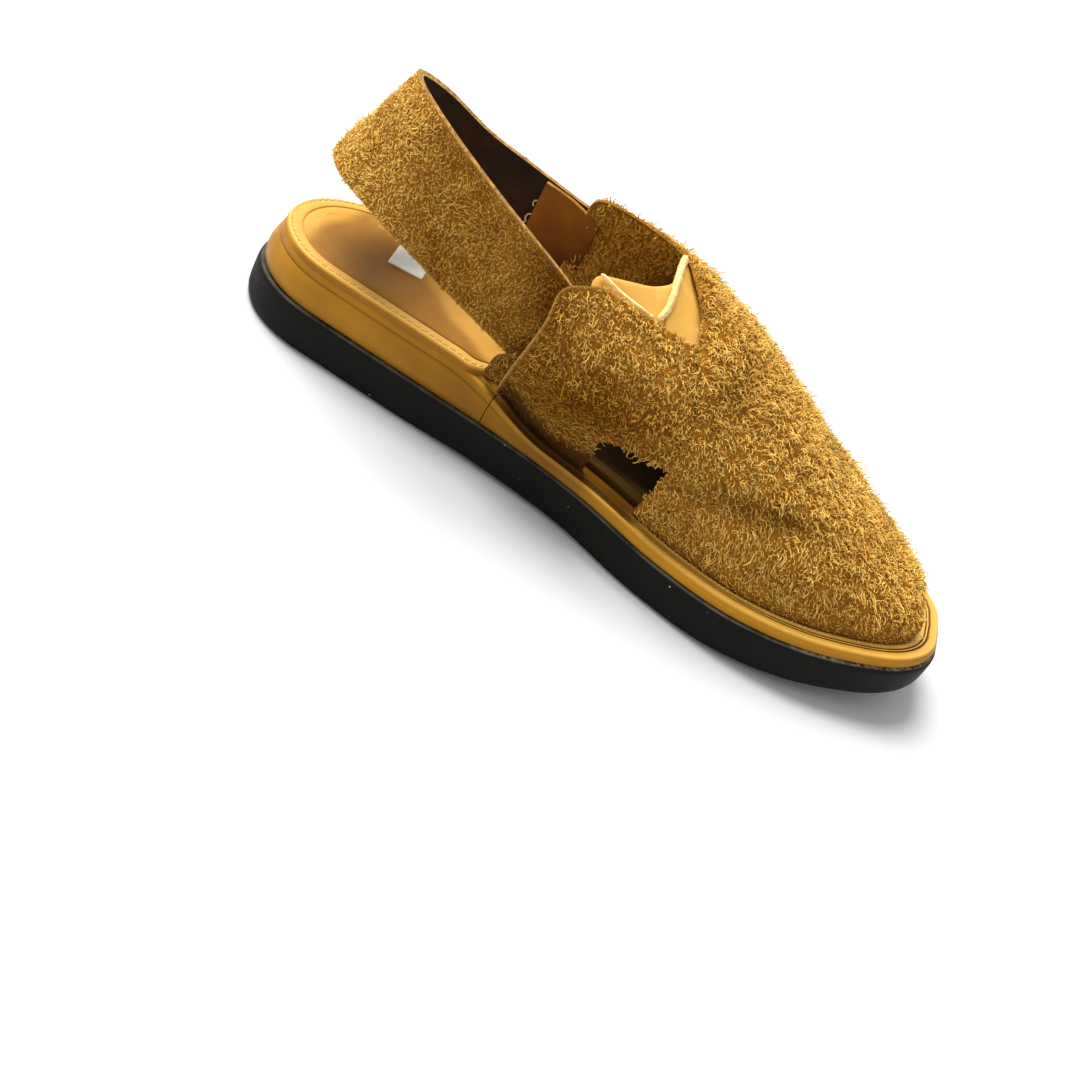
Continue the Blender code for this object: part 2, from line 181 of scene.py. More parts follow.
# a material, and short ways to add nodes to it
class Finish:
    def __init__(self, name, roughness, specular=0.5, **sockets):
        self.material = bpy.data.materials.new(name)
        self.material.use_nodes = True
        self.nodes, self.links = self.material.node_tree.nodes, self.material.node_tree.links
        self.shader = self.nodes["Principled BSDF"]
        self.shader.inputs["Roughness"].default_value = roughness
        self.shader.inputs["Specular IOR Level"].default_value = specular
        for socket, value in sockets.items():
            self.shader.inputs[socket].default_value = value
        self.place = self.nodes.new("ShaderNodeTexCoord").outputs["Object"]

    def put(self, socket, value):
        if isinstance(value, bpy.types.NodeSocket):
            self.links.new(value, socket)
        else:
            socket.default_value = value

    def attribute(self, name):
        node = self.nodes.new("ShaderNodeAttribute")
        node.attribute_name = name
        return node.outputs["Fac"]

    def noise(self, scale, detail=2.0, roughness=0.5, stretch=None, distortion=0.0):
        node = self.nodes.new("ShaderNodeTexNoise")
        where = self.place
        if stretch:
            mapping = self.nodes.new("ShaderNodeMapping")
            mapping.inputs["Scale"].default_value = stretch
            self.links.new(where, mapping.inputs["Vector"])
            where = mapping.outputs["Vector"]
        for key, value in (("Scale", scale), ("Detail", detail), ("Roughness", roughness),
                           ("Distortion", distortion), ("Vector", where)):
            self.put(node.inputs[key], value)
        return node.outputs["Fac"]

    def cells(self, scale):
        node = self.nodes.new("ShaderNodeTexVoronoi")
        node.inputs["Scale"].default_value = scale
        self.links.new(self.place, node.inputs["Vector"])
        return node.outputs["Distance"]

    def span(self, value, low, high, toLow=0.0, toHigh=1.0):
        node = self.nodes.new("ShaderNodeMapRange")
        node.interpolation_type = "SMOOTHSTEP"
        for key, number in (("Value", value), ("From Min", low), ("From Max", high),
                            ("To Min", toLow), ("To Max", toHigh)):
            self.put(node.inputs[key], number)
        return node.outputs["Result"]

    def maths(self, kind, a, b=0.0):
        node = self.nodes.new("ShaderNodeMath")
        node.operation = kind
        self.put(node.inputs[0], a)
        self.put(node.inputs[1], b)
        return node.outputs[0]

    def times(self, a, b):
        return self.maths("MULTIPLY", a, b)

    # mixes two colours, each a screen colour or a node's
    def mix(self, share, a, b, blend="MIX"):
        node = self.nodes.new("ShaderNodeMix")
        node.data_type = "RGBA"
        node.blend_type = blend
        self.put(node.inputs["Factor"], share)
        for socket, tone in ((6, a), (7, b)):
            self.put(node.inputs[socket], paint(*tone) if isinstance(tone, tuple) else tone)
        return node.outputs[2]

    def coat(self, colour, rough=None):
        self.put(self.shader.inputs["Base Color"], colour)
        if rough:
            self.put(self.shader.inputs["Roughness"], rough)

    def bump(self, height, strength, distance, under=None):
        node = self.nodes.new("ShaderNodeBump")
        node.inputs["Strength"].default_value = strength
        node.inputs["Distance"].default_value = distance
        self.links.new(height, node.inputs["Height"])
        if under:
            self.links.new(under, node.inputs["Normal"])
        self.links.new(node.outputs["Normal"], self.shader.inputs["Normal"])
        return node.outputs["Normal"]


rubber = {
    "roughness": 0.62, "specular": 0.12, "low": (9, 9, 7), "high": (19, 19, 15),
    "dust": (80, 78, 68), "dustShare": 0.10, "speck": (190, 186, 174), "speckShare": 0.75,
    "line": (98, 90, 74), "glue": (168, 156, 128), "grainScale": 1500, "grain": 0.25,
}


def rubberFinish():
    f = Finish("mattRubber", rubber["roughness"], rubber["specular"])
    cloud = f.noise(60, 4, 0.6)
    base = f.mix(f.span(cloud, 0.35, 0.7), rubber["low"], rubber["high"])
    dust = f.span(f.noise(900, 3, 0.7), 0.60, 0.72)
    base = f.mix(f.times(dust, rubber["dustShare"]), base, rubber["dust"])
    speck = f.times(f.span(f.cells(260), 0.10, 0.06), f.span(f.noise(140, 0), 0.60, 0.66))
    base = f.mix(f.times(speck, rubber["speckShare"]), base, rubber["speck"])
    # a scuffed line along the top edge, and glue at the toe
    broken = f.span(f.noise(60, 3, 0.6), 0.35, 0.6, 0.1, 0.7)
    line = f.times(f.span(f.attribute("rise"), 0.965, 0.985), broken)
    base = f.mix(line, base, rubber["line"])
    glue = f.times(f.attribute("glue"), f.span(f.noise(300, 3, 0.7), 0.42, 0.60))
    base = f.mix(glue, base, rubber["glue"])
    f.coat(base, f.span(cloud, 0.3, 0.7, 0.5, 0.72))
    f.bump(f.noise(rubber["grainScale"], 3, 0.6), rubber["grain"], 0.0003)
    return f.material


# the light tone is a painted highlight, the dark tone painted shade, and the foot tone painted shade low on
# the wall
wrapLeather = {
    "roughness": 0.42, "specular": 0.16, "low": (146, 97, 10), "high": (174, 121, 18),
    "streak": (188, 134, 28), "streakShare": 0.3, "light": (232, 184, 86), "dark": (62, 34, 4),
    "foot": (112, 74, 12), "footShadeShare": 0.5, "grainScale": 900, "grain": 0.16, "swell": 0.18,
}


def wrapFinish():
    g = wrapLeather
    f = Finish("ochreWrap", g["roughness"], g["specular"])
    base = f.mix(f.span(f.noise(26, 3, 0.55), 0.3, 0.72), g["low"], g["high"])
    streak = f.span(f.noise(70, 3, 0.6, (0.25, 0.25, 2.2)), 0.42, 0.72)
    base = f.mix(f.times(streak, g["streakShare"]), base, g["streak"])
    # painted highlight on the bead and the rim's ridges; painted shade on the wall's middle, in the crease,
    # the grooves and beside the opening, and darker at the wall's foot
    base = f.mix(f.span(f.attribute("light"), 0.1, 1.0), base, g["light"])
    base = f.mix(f.attribute("dark"), base, g["dark"])
    foot = f.times(f.span(f.attribute("rise"), 0.22, 0.0), g["footShadeShare"])
    base = f.mix(foot, base, g["foot"])
    f.coat(base, f.span(f.noise(130, 3), 0.3, 0.7, 0.36, 0.52))
    grain = f.bump(f.cells(g["grainScale"]), g["grain"], 0.0003)
    f.bump(f.noise(45, 3), g["swell"], 0.0012, under=grain)
    return f.material


# pale is also the raised edge's painted highlight, dark the painted shade in the groove and under the straps
footbedLeather = {
    "roughness": 0.5, "specular": 0.05, "low": (180, 128, 50), "high": (198, 146, 64),
    "pale": (226, 174, 82), "ochre": (172, 118, 20), "worn": (150, 102, 34), "dark": (22, 8, 0),
    "poreScale": 1300, "poreLow": (188, 188, 188), "poreHigh": (255, 255, 255),
    "grainScale": 1100, "grain": 0.15, "swell": 0.2,
}


def footbedFinish():
    g = footbedLeather
    f = Finish("footbedTan", g["roughness"], g["specular"])
    cloud = f.noise(38, 4, 0.6)
    base = f.mix(f.span(cloud, 0.3, 0.7), g["low"], g["high"])
    base = f.mix(f.attribute("pale"), base, g["pale"])
    base = f.mix(f.attribute("ochre"), base, g["ochre"])
    worn = f.times(f.attribute("worn"), f.span(f.noise(90, 4, 0.65), 0.15, 0.6, 0.72, 1.0))
    base = f.mix(worn, base, g["worn"])
    base = f.mix(f.attribute("dark"), base, g["dark"])
    pore = f.span(f.cells(g["poreScale"]), 0.0, 0.28, 0.75, 1.0)
    base = f.mix(1.0, base, f.mix(pore, g["poreLow"], g["poreHigh"]), "MULTIPLY")
    f.coat(base, f.maths("MAXIMUM", f.span(cloud, 0.3, 0.7, 0.42, 0.6), f.attribute("dark")))
    grain = f.bump(f.cells(g["grainScale"]), g["grain"], 0.00025)
    f.bump(f.noise(60, 4), g["swell"], 0.001, under=grain)
    return f.material


# smooth leather, whose painted shade tone shows where the attribute "fade" is high
def leatherFinish(name, low, high, roughness, patch, grain, edge=None):
    f = Finish(name, roughness, 0.22)
    base = f.mix(f.span(f.noise(patch, 4, 0.6), 0.3, 0.7), low, high)
    if edge:
        base = f.mix(f.attribute("fade"), base, edge)
    f.coat(base, f.span(f.noise(150, 3), 0.3, 0.7, roughness - 0.07, roughness + 0.08))
    fine = f.bump(f.cells(1200), grain, 0.00025)
    f.bump(f.noise(70, 3), 0.2, 0.0008, under=fine)
    return f.material


def cutEdgeFinish(name, low, high):
    f = Finish(name, 0.9, 0.15)
    fibre = f.noise(900, 4, 0.7, (0.3, 0.3, 1.6))
    f.coat(f.mix(f.span(fibre, 0.3, 0.7), low, high))
    f.bump(fibre, 0.6, 0.0005)
    return f.material


# thin winding lines, where a soft noise crosses its middle value
def mattedFibres(f, scale, width, twist):
    soft = f.noise(scale, 1.0, 0.5, None, twist)
    return f.span(f.maths("ABSOLUTE", f.maths("SUBTRACT", soft, 0.5)), width, 0.0)


suede = {
    "roughness": 0.95, "specular": 0.1, "low": (92, 49, 2), "high": (144, 90, 12),
    "lines": ((170, 116, 34), (232, 178, 76)), "lineShare": 0.8, "pale": (190, 122, 22), "paleShare": 0.6,
    "cut": (236, 188, 100), "cutShare": 0.8, "shade": (50, 25, 2), "relief": 0.9,
}


# the hide between the curls, with finer matted fibres of its own
def suedeFinish():
    f = Finish("suedeHide", suede["roughness"], suede["specular"])
    pale = f.attribute("pale")
    mat = f.noise(520, 4, 0.7, None, 1.2)
    fibres = f.maths("MAXIMUM", mattedFibres(f, 640, 0.045, 0.6), mattedFibres(f, 930, 0.05, 0.9))
    ground = f.mix(f.span(mat, 0.35, 0.68), suede["low"], suede["high"])
    base = f.mix(f.times(pale, suede["paleShare"]), ground, suede["pale"])
    base = f.mix(f.times(fibres, suede["lineShare"]), base, f.mix(pale, *suede["lines"]))
    base = f.mix(f.times(f.attribute("cut"), suede["cutShare"]), base, suede["cut"])
    f.coat(f.mix(f.attribute("shade"), base, suede["shade"]))
    f.bump(f.maths("ADD", f.times(mat, 0.6), f.times(fibres, 0.5)), suede["relief"], 0.0012)
    return f.material


# Curled fibres, dark at the root and golden towards the tip. A pair of tones is the shaded and the pale one.
def napFinish(name, rootTones, tipTones):
    f = Finish(name, 0.8, 0.12)
    pale = f.attribute("pale")
    base = f.mix(f.span(f.attribute("tip"), 0.0, 0.6), f.mix(pale, *rootTones), f.mix(pale, *tipTones))
    base = f.mix(f.times(f.span(f.attribute("tone"), 0.45, 0.0), 0.6), base, (112, 66, 8))
    f.coat(f.mix(f.attribute("shade"), base, (60, 31, 2)))
    return f.material


finish = {
    "rubber": rubberFinish(),
    "wrap": wrapFinish(),
    "footbed": footbedFinish(),
    "suede": suedeFinish(),
    # low and high tone, roughness, scale of the patches, grain and painted shade tone
    "tongue": leatherFinish("tongueTan", (204, 152, 66), (222, 172, 80), 0.55, 55, 0.14, (196, 116, 26)),
    "tab": leatherFinish("tabBrown", (140, 82, 4), (162, 98, 8), 0.5, 60, 0.2, (60, 22, 0)),
    "lining": leatherFinish("liningBrown", (34, 17, 3), (56, 31, 8), 0.65, 60, 0.2),
    "thread": leatherFinish("creamThread", (206, 170, 104), (240, 208, 140), 0.7, 300, 0.3),
    "label": leatherFinish("blankLabel", (246, 240, 222), (255, 251, 238), 0.7, 160, 0.12),
    # low and high tone
    "greigeEdge": cutEdgeFinish("greigeEdge", (122, 84, 36), (188, 146, 80)),
    "creamEdge": cutEdgeFinish("creamEdge", (214, 176, 104), (250, 222, 152)),
    "tabEdge": cutEdgeFinish("tabEdge", (120, 74, 18), (176, 120, 46)),
    # root and tip tones
    "nap": napFinish("suedeNap", ((98, 50, 1), (192, 121, 20)), ((212, 146, 44), (255, 217, 112))),
    # a paler copy of the nap for the wings' insides: painted light
    "innerNap": napFinish(
        "suedeInnerNapLit", ((140, 84, 10), (238, 164, 44)), ((232, 170, 60), (255, 210, 100))),
}
print("finishes made")


def place(name, data):
    thing = bpy.data.objects.new(name, data)
    bpy.context.scene.collection.objects.link(thing)
    return thing


def quads(*corners):
    return np.stack(corners, -1).reshape(-1, 4).tolist()


# vertex numbers of a grid's quads
def gridFaces(index):
    return quads(index[:-1, :-1], index[:-1, 1:], index[1:, 1:], index[1:, :-1])


def markMesh(mesh, marks):
    for key, values in marks.items():
        layer = mesh.attributes.new(key, "FLOAT", "POINT")
        layer.data.foreach_set("value", np.asarray(values, np.float32).ravel())


def makePiece(name, points, faces, materials, faceMaterial=None, marks=None, smoothAngle=40):
    mesh = bpy.data.meshes.new(name)
    corners = [tuple(p) for p in toWorld(points)]
    mesh.from_pydata(corners, [], [[int(i) for i in face] for face in faces])
    for material in materials:
        mesh.materials.append(material)
    if faceMaterial is not None:
        mesh.polygons.foreach_set("material_index", np.asarray(faceMaterial, np.int32))
    markMesh(mesh, marks or {})
    work = bmesh.new()
    work.from_mesh(mesh)
    bmesh.ops.remove_doubles(work, verts=work.verts, dist=2e-6)
    bmesh.ops.dissolve_degenerate(work, edges=work.edges, dist=1e-6)
    work.to_mesh(mesh)
    work.free()
    mesh.shade_smooth()
    mesh.set_sharp_from_angle(angle=math.radians(smoothAngle))
    return place(name, mesh)


def settle(piece, slot, *nodes):
    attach(piece, "root")
    if nodes:
        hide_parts(*nodes)


# A closed sheet between two grids. The materials are for its outer face, its inner face and its edges. A mark
# is one array for both faces, or a pair.
def slabPiece(name, outer, inner, materials, marks=None, smoothAngle=40):
    a, b = np.arange(2 * outer[..., 0].size).reshape(2, *outer.shape[:2])
    parts = [
        (0, gridFaces(a)),
        (1, quads(b[:-1, :-1], b[1:, :-1], b[1:, 1:], b[:-1, 1:])),
        (2, quads(a[:-1, 0], a[1:, 0], b[1:, 0], b[:-1, 0])),
        (2, quads(a[1:, -1], a[:-1, -1], b[:-1, -1], b[1:, -1])),
        (2, quads(a[0, 1:], a[0, :-1], b[0, :-1], b[0, 1:])),
        (2, quads(a[-1, :-1], a[-1, 1:], b[-1, 1:], b[-1, :-1])),
    ]
    faces = [face for kind, part in parts for face in part]
    kinds = [kind for kind, part in parts for face in part]
    points = np.concatenate([outer.reshape(-1, 3), inner.reshape(-1, 3)])
    both = {}
    for key, value in (marks or {}).items():
        pair = value if isinstance(value, tuple) else (value, value)
        both[key] = np.concatenate([np.ravel(side) for side in pair])
    return makePiece(name, points, faces, [finish[key] for key in materials], kinds, both, smoothAngle)


# A closed tube along a line. Each point has two directions across, and half a width in each round the tube.
def tubePiece(name, line, ways, widths, material):
    points = line[:, None] + sum(way[:, None] * width[..., None] for way, width in zip(ways, widths))
    index = np.arange(points[..., 0].size).reshape(points.shape[:2])
    ahead = np.roll(index, -1, axis=1)
    faces = quads(index[:-1], ahead[:-1], ahead[1:], index[1:])
    return makePiece(name, points.reshape(-1, 3), faces, [finish[material]])


def divided(places, longest):
    parts = [np.linspace(p, q, math.ceil((q - p) / longest), endpoint=False)
             for p, q in zip(places[:-1], places[1:])]
    return np.concatenate(parts + [[places[-1]]])


# shares from 0 to 1 with a few close ones at both ends, where an edge is rounded
def edgedShares(steps, hem):
    ends = np.array([0.0, 0.25, 0.6, 1.0]) * hem
    return np.concatenate([ends, np.linspace(hem, 1 - hem, steps)[1:-1], 1 - ends[::-1]])


# soft undulation from a few crossed sines, between about -1 and 1
def waves(points, pitch, seed):
    dice = np.random.default_rng(seed)
    total = np.zeros(points.shape[:-1])
    for _ in range(6):
        way = dice.normal(size=3)
        way *= 2 * math.pi / (pitch * dice.uniform(0.7, 1.5)) / np.linalg.norm(way)
        total += np.sin(points @ way + dice.uniform(0, 6.28))
    return total / 3.5


# the same undulation as a vector at each point, from three seeds
def drift(points, pitch, seed):
    return np.stack([waves(points, pitch, seed + k) for k in range(3)], -1)


view = {
    "aim": (0.0017, -0.0356, -0.0075), "azimuth": -88.33, "elevation": 34.2, "distance": 0.3952,
    "roll": 32.16, "lens": 37.33, "shift": (-0.0031, -0.0078),
}


def setCamera():
    data = bpy.data.cameras.new("camera")
    data.sensor_width = 36
    data.lens = view["lens"]
    data.shift_x, data.shift_y = view["shift"]
    data.clip_start = 0.01
    camera = place("camera", data)
    turn, climb = math.radians(view["azimuth"]), math.radians(view["elevation"])
    back = Vector((math.cos(turn) * math.cos(climb), math.sin(turn) * math.cos(climb), math.sin(climb)))
    camera.location = Vector(view["aim"]) + back * view["distance"]
    roll = Matrix.Rotation(math.radians(view["roll"]), 3, "Z")
    camera.rotation_euler = ((-back).to_track_quat("-Z", "Y").to_matrix() @ roll).to_euler()
    bpy.context.scene.camera = camera


studio = {
    "skyStrength": 0.74,
    "sunFrom": (-0.48, 0.24, 0.84), "sunStrength": 4.9, "sunSpread": 34,
    "floorReach": 18.0, "backHeight": 9.0, "backGlow": 0.75,
    "floorTones": ((196, 196, 196), (200, 200, 200)), "backTones": ((216, 216, 216), (220, 220, 220)),
}


def setStudio():
    scene = bpy.context.scene
    scene.view_settings.view_transform = "Standard"
    scene.world = bpy.data.worlds.new("studio")
    scene.world.use_nodes = True
    sky = scene.world.node_tree.nodes["Background"]
    sky.inputs["Color"].default_value = (1.0, 1.0, 1.0, 1.0)
    sky.inputs["Strength"].default_value = studio["skyStrength"]
    data = bpy.data.lights.new("softKey", "SUN")
    data.energy = studio["sunStrength"]
    data.angle = math.radians(studio["sunSpread"])
    place("softKey", data).rotation_euler = Vector(studio["sunFrom"]).to_track_quat("Z", "Y").to_euler()

    paper = Finish("floorPaper", 0.95, 0.1)
    paper.coat(paper.mix(paper.noise(6, 2), *studio["floorTones"]))
    glow = Finish("backdropPaper", 0.95, **{
        "Emission Color": (1.0, 1.0, 1.0, 1.0), "Emission Strength": studio["backGlow"]})
    glow.coat(glow.mix(glow.noise(6, 2), *studio["backTones"]))
    reach, high = studio["floorReach"], studio["backHeight"]
    floor = [(-reach, -reach, 0), (reach, -reach, 0), (reach, reach, 0), (-reach, reach, 0)]
    back = [(-reach, reach, 0), (reach, reach, 0), (reach, reach, high), (-reach, reach, high)]
    for name, corners, coat in (("floor", floor, paper), ("backdrop", back, glow)):
        mesh = bpy.data.meshes.new(name)
        mesh.from_pydata(corners, [], [(0, 1, 2, 3)])
        mesh.materials.append(coat.material)
        place(name, mesh)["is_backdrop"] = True


setCamera()
setStudio()
print("camera and studio set")


# stations with close ones round both ends
def soleStations(first, last):
    turn = np.linspace(0, math.pi / 2, 26)
    heel = sandal["heelRound"] * (1 - np.cos(turn))
    toe = 1 - sandal["toeRound"] * (1 - np.sin(turn))
    between = np.linspace(sandal["heelRound"], 1 - sandal["toeRound"], 110)[1:-1]
    stations = np.concatenate([heel, between, toe])
    inside = stations[(stations > first + 0.001) & (stations < last - 0.001)]
    return np.concatenate([[first], inside, [last]])


# one side's line at an inset, which meets the other side's at the heel and at the toe
def sideLine(s, side, inset, height):
    x, y = edgePoint(s, side, inset(s))
    y = np.where((s == 0.0) | (s == 1.0), 0.0, y)
    return np.stack([x, y, height(x / length)], -1)


# A closed layer. Each profile step is an inset, a height and its marks, all by station. Above the last step,
# rows across close the top, where topShape may bend them.
def soleLayer(name, profile, material, first=0.0, last=1.0, crossSteps=2, topShape=None, extra=None):
    s = soleStations(first, last)
    count, levels = len(s), len(profile)
    points, marks = [], {key: [] for key in profile[0][2]}
    for inset, height, values in profile:
        for side in (-1, 1):
            points.append(sideLine(s, side, inset, height))
            for key, value in values.items():
                marks[key].append(np.broadcast_to(value(s) if callable(value) else value, s.shape))
    near, far = points[-2], points[-1]
    shares = np.linspace(0, 1, crossSteps + 1)[1:-1]
    for share in shares:
        row = near + (far - near) * share
        points.append(topShape(row, s, share) if topShape else row)
    for values in marks.values():
        values += [np.zeros(count)] * len(shares)

    index = np.arange((levels * 2 + len(shares)) * count).reshape(-1, count)
    walls = index[:levels * 2].reshape(levels, 2, count)
    ladder = [walls[-1, 0], *index[levels * 2:], walls[-1, 1]]
    low, high = walls[:-1], walls[1:]
    faces = [
        *quads(low[:, 0, :-1], low[:, 0, 1:], high[:, 0, 1:], high[:, 0, :-1]),
        *quads(low[:, 1, 1:], low[:, 1, :-1], high[:, 1, :-1], high[:, 1, 1:]),
        *quads(low[:, 1, :1], low[:, 0, :1], high[:, 0, :1], high[:, 1, :1]),
        *quads(low[:, 0, -1:], low[:, 1, -1:], high[:, 1, -1:], high[:, 0, -1:]),
        *quads(walls[0, 0, :-1], walls[0, 1, :-1], walls[0, 1, 1:], walls[0, 0, 1:]),
    ]
    for a, b in zip(ladder[:-1], ladder[1:]):
        faces += quads(a[:-1], a[1:], b[1:], b[:-1])
    # the ends of the ladder close on the last level's edge
    faces += [[row[0] for row in ladder[::-1]], [row[-1] for row in ladder]]
    points = np.concatenate(points)
    marks = {key: np.concatenate(values) for key, values in marks.items()}
    if extra:
        marks.update(extra(points, marks))
    return makePiece(name, points, faces, [finish[material]], None, marks, 50)


def flat(value):
    return lambda s: np.full_like(s, value)


outsole = {
    # inset and share of the height, from the ground up and over the top edge
    "profile": ((2.6, 0.0), (1.6, 0.015), (0.9, 0.05), (0.4, 0.11), (0.08, 0.2), (0.0, 0.32), (0.05, 0.5),
                (0.2, 0.7), (0.35, 0.84), (0.5, 0.9), (0.7, 0.945), (1.1, 0.98), (1.9, 1.0), (6.0, 1.0)),
    "glueFrom": 0.80,
}


def makeOutsole():
    def step(inset, share):
        def height(s):
            return floorGap(s) + (outsoleTop(s) - floorGap(s)) * share

        return flat(inset), height, {"rise": share}

    def glue(points, marks):
        s = points[:, 0] / length
        along = ease((s - outsole["glueFrom"]) / 0.06) * ease((1.0 - s) / 0.03 + 0.2)
        return {"glue": along * (marks["rise"] > 0.99) * (points[:, 1] < 0)}

    profile = [step(*row) for row in outsole["profile"]]
    settle(soleLayer("soleRubber", profile, "rubber", crossSteps=4, extra=glue), "rubber", "outsole")


wrap = {
    "inset": 2.2, "rimLean": 1.0, "wedgeLean": 1.5, "backLean": 1.1,
    # share of the height, share of the lean, extra inset, highlight and, at the wedge's crease, dent
    "wall": ((0.0, 0.15, 0.3), (0.04, 0.0, 0.0), (0.2, 0.0, -0.2), (0.4, 0.1, -0.25), (0.56, 0.3, -0.1),
             (0.68, 0.55, 0.0), (0.74, 0.66, 0.0, 0.1), (0.78, 0.74, 0.05, 0.2, 0.45),
             (0.82, 0.80, 0.05, 0.4), (0.88, 0.88, 0.15, 0.4), (0.94, 1.0, 0.35, 0.55),
             (0.985, 1.1, 0.75, 0.65), (1.0, 1.2, 1.2, 0.55)),
    # inset, drop below the seat, highlight and shade, across the bead, the two stitched grooves and the strip
    "top": ((6.0, 0.05, 0.5), (6.3, 0.15, 0.1, 0.2), (6.5, 0.6, 0.0, 1.0), (6.85, 0.6, 0.0, 1.0),
            (7.0, 0.2, 0.4), (7.25, 0.12, 0.75), (7.5, 0.2, 0.4), (7.65, 0.5, 0.0, 0.9),
            (7.95, 0.5, 0.0, 0.9), (8.15, 0.1, 0.5), (8.7, 0.0, 0.8), (9.6, 0.0, 0.8),
            (10.0, 0.2, 0.3), (12.0, 0.25, 0.0, 0.3)),
    "wallShade": 0.42, "creaseShade": 0.4, "openingShade": 0.8, "openingFrom": 0.36, "openingTo": 0.605,
}


def backShare(s):
    return ease((0.10 - s) / 0.08)


def wrapLean(s):
    atWedge = (wrap["wedgeLean"] - wrap["rimLean"]) * wedgeShare(s)
    return wrap["rimLean"] + atWedge + wrap["backLean"] * backShare(s)


def wallStep(share, leanShare, extraInset, light=0.0, dent=0.0):
    def inset(s):
        rounding = extraInset * (1 - 0.8 * (share > 0.9) * wedgeShare(s))
        return wrap["inset"] + leanShare * wrapLean(s) + rounding + dent * wedgeShare(s)

    def height(s):
        return outsoleTop(s) + sandal["gap"] + (wallHeight(s) - sandal["gap"]) * share

    def shade(s):
        middle = ease((s - 0.12) / 0.3) * ease((0.62 - s) / 0.2)
        return wrap["wallShade"] * middle * (1 - share**6) + wrap["creaseShade"] * dent * wedgeShare(s)

    def glow(s):
        return light * (1 - 0.8 * wedgeShare(s))

    return inset, height, {"rise": share, "light": glow, "dark": shade}


def topStep(inset, drop, light=0.0, dark=0.0):
    return flat(inset), (lambda s: seat(s) - drop), {"rise": 1.0, "light": light, "dark": dark}


# the top of the rim lies in shade beside the opening between the straps
def underFur(points, marks):
    s = points[:, 0] / length
    along = ease((s - wrap["openingFrom"]) / 0.05) * ease((wrap["openingTo"] - s) / 0.03)
    shade = wrap["openingShade"] * along * (points[:, 1] < 0) * (marks["rise"] > 0.995)
    return {"dark": np.maximum(marks["dark"], shade), "light": marks["light"] * (1 - shade)}


def makeWraps():
    profile = [wallStep(*row) for row in wrap["wall"]] + [topStep(*row) for row in wrap["top"]]
    seam = sandal["seam"]
    heel = soleLayer("wedgeWrap", profile, "wrap", 0.0, seam, extra=underFur)
    front = soleLayer("rimWrap", profile, "wrap", seam + sandal["gap"] / length, 1.0, extra=underFur)
    settle(heel, "ochre_leather", "heel_wedge")
    settle(front, "ochre_leather", "midsole")


footbed = {
    # inset, share of the thickness, pale, dark and ochre: up the side and over the raised edge, where the
    # pale is a painted highlight and the dark painted shade
    "edge": ((0.0, 0.0, 0.0, 0.0, 1.0), (0.0, 0.12, 0.0, 0.0, 1.0), (-0.05, 0.4, 0.0, 0.0, 0.8),
             (0.0, 0.68, 0.6, 0.0, 0.4), (0.25, 0.9, 1.0), (0.6, 1.0, 1.0), (0.95, 0.98, 0.8),
             (1.15, 0.9, 0.3, 0.3), (1.5, 0.86, 0.1, 0.4), (1.8, 0.94, 0.3), (2.6, 0.98, 0.6)),
    # the same across the groove, as insets from its middle; its dark is painted shade in the groove
    "groove": ((-0.9, 0.98, 0.5), (-0.45, 0.93, 0.2, 0.2), (-0.15, 0.74, 0.0, 0.9), (0.15, 0.74, 0.0, 0.9),
               (0.5, 0.93, 0.06, 0.2), (1.1, 0.97), (2.5, 0.96), (4.5, 0.92)),
    "grooveInset": 5.6, "stitchInset": 1.5, "sink": 0.45,
    "dish": 0.9, "ripple": 0.12,
    "wornBack": 17.0, "wornArch": 4.0, "wornSlope": 0.69, "wornRipple": 1.6,
    "strapsFrom": 106, "strapsTo": 268, "heelPale": 0.5,
}


def footbedInset(s):
    narrowing = sandal["insoleNarrowing"] * ease((s - sandal["narrowingStart"]) / sandal["narrowingRun"])
    return sandal["insoleInset"] + narrowing + 1.2 * wrap["backLean"] * backShare(s)


def footbedTop(s):
    return seat(s) + sandal["gap"] + sandal["insoleThickness"]


def makeFootbed():
    g = footbed

    # at the heel the side runs on from the wall with no gap
    def step(roundIn, share, pale=0.0, dark=0.0, ochre=0.0):
        def inset(s):
            return footbedInset(s) + roundIn - 0.45 * (1 - share) * wedgeShare(s)

        def height(s):
            sink = g["sink"] * (share == 0.0) * wedgeShare(s)
            return seat(s) + sandal["gap"] - sink + sandal["insoleThickness"] * share

        return inset, height, {"pale": pale, "dark": dark, "ochre": ochre}

    def dish(row, s, share):
        row = row.copy()
        row[:, 2] -= g["dish"] * 4 * share * (1 - share) * ease(s / 0.05) + g["ripple"] * waves(row, 30, 4)
        return row

    # the worn patch behind the arch, the raised edge's painted highlight, a paler heel end, the groove's
    # painted shade, mostly on the inner side, and painted shade under the straps
    def wear(points, marks):
        x, y = points[:, 0], points[:, 1]
        ripple = g["wornRipple"] * waves(points, 24, 9)
        fromBack = ease((x - g["wornBack"] + ripple) / 6)
        reach = g["wornArch"] - g["wornSlope"] * (x - 57) - np.maximum(y, y * 0.9)
        fromArch = ease((reach + ripple) / 7 + 0.5)
        underStraps = ease((x - g["strapsFrom"]) / 14) * ease((g["strapsTo"] - x) / 14)
        rim = ease(marks["pale"] * 3)
        pale = np.maximum(marks["pale"], g["heelPale"] * ease((26 - x) / 16)) * (1 - underStraps)
        groove = marks["dark"] * (0.12 + 0.88 * ease((x - 30) / 40) * (y < 0))
        under = underStraps * (1 - 0.10 * ease((np.abs(y) - 18) / 8))
        return {"worn": fromBack * fromArch * (1 - rim), "pale": pale, "dark": np.maximum(groove, under)}

    rows = [*g["edge"], *((g["grooveInset"] + offset, *rest) for offset, *rest in g["groove"])]
    profile = [step(*row) for row in rows]
    settle(soleLayer("footbed", profile, "footbed", crossSteps=26, topShape=dish, extra=wear),
           "tan_leather", "insole")


label = {"corner": (44.0, -1.5), "long": 24.0, "short": 13.5, "turn": 101.0, "thickness": 0.35, "lift": 0.12}


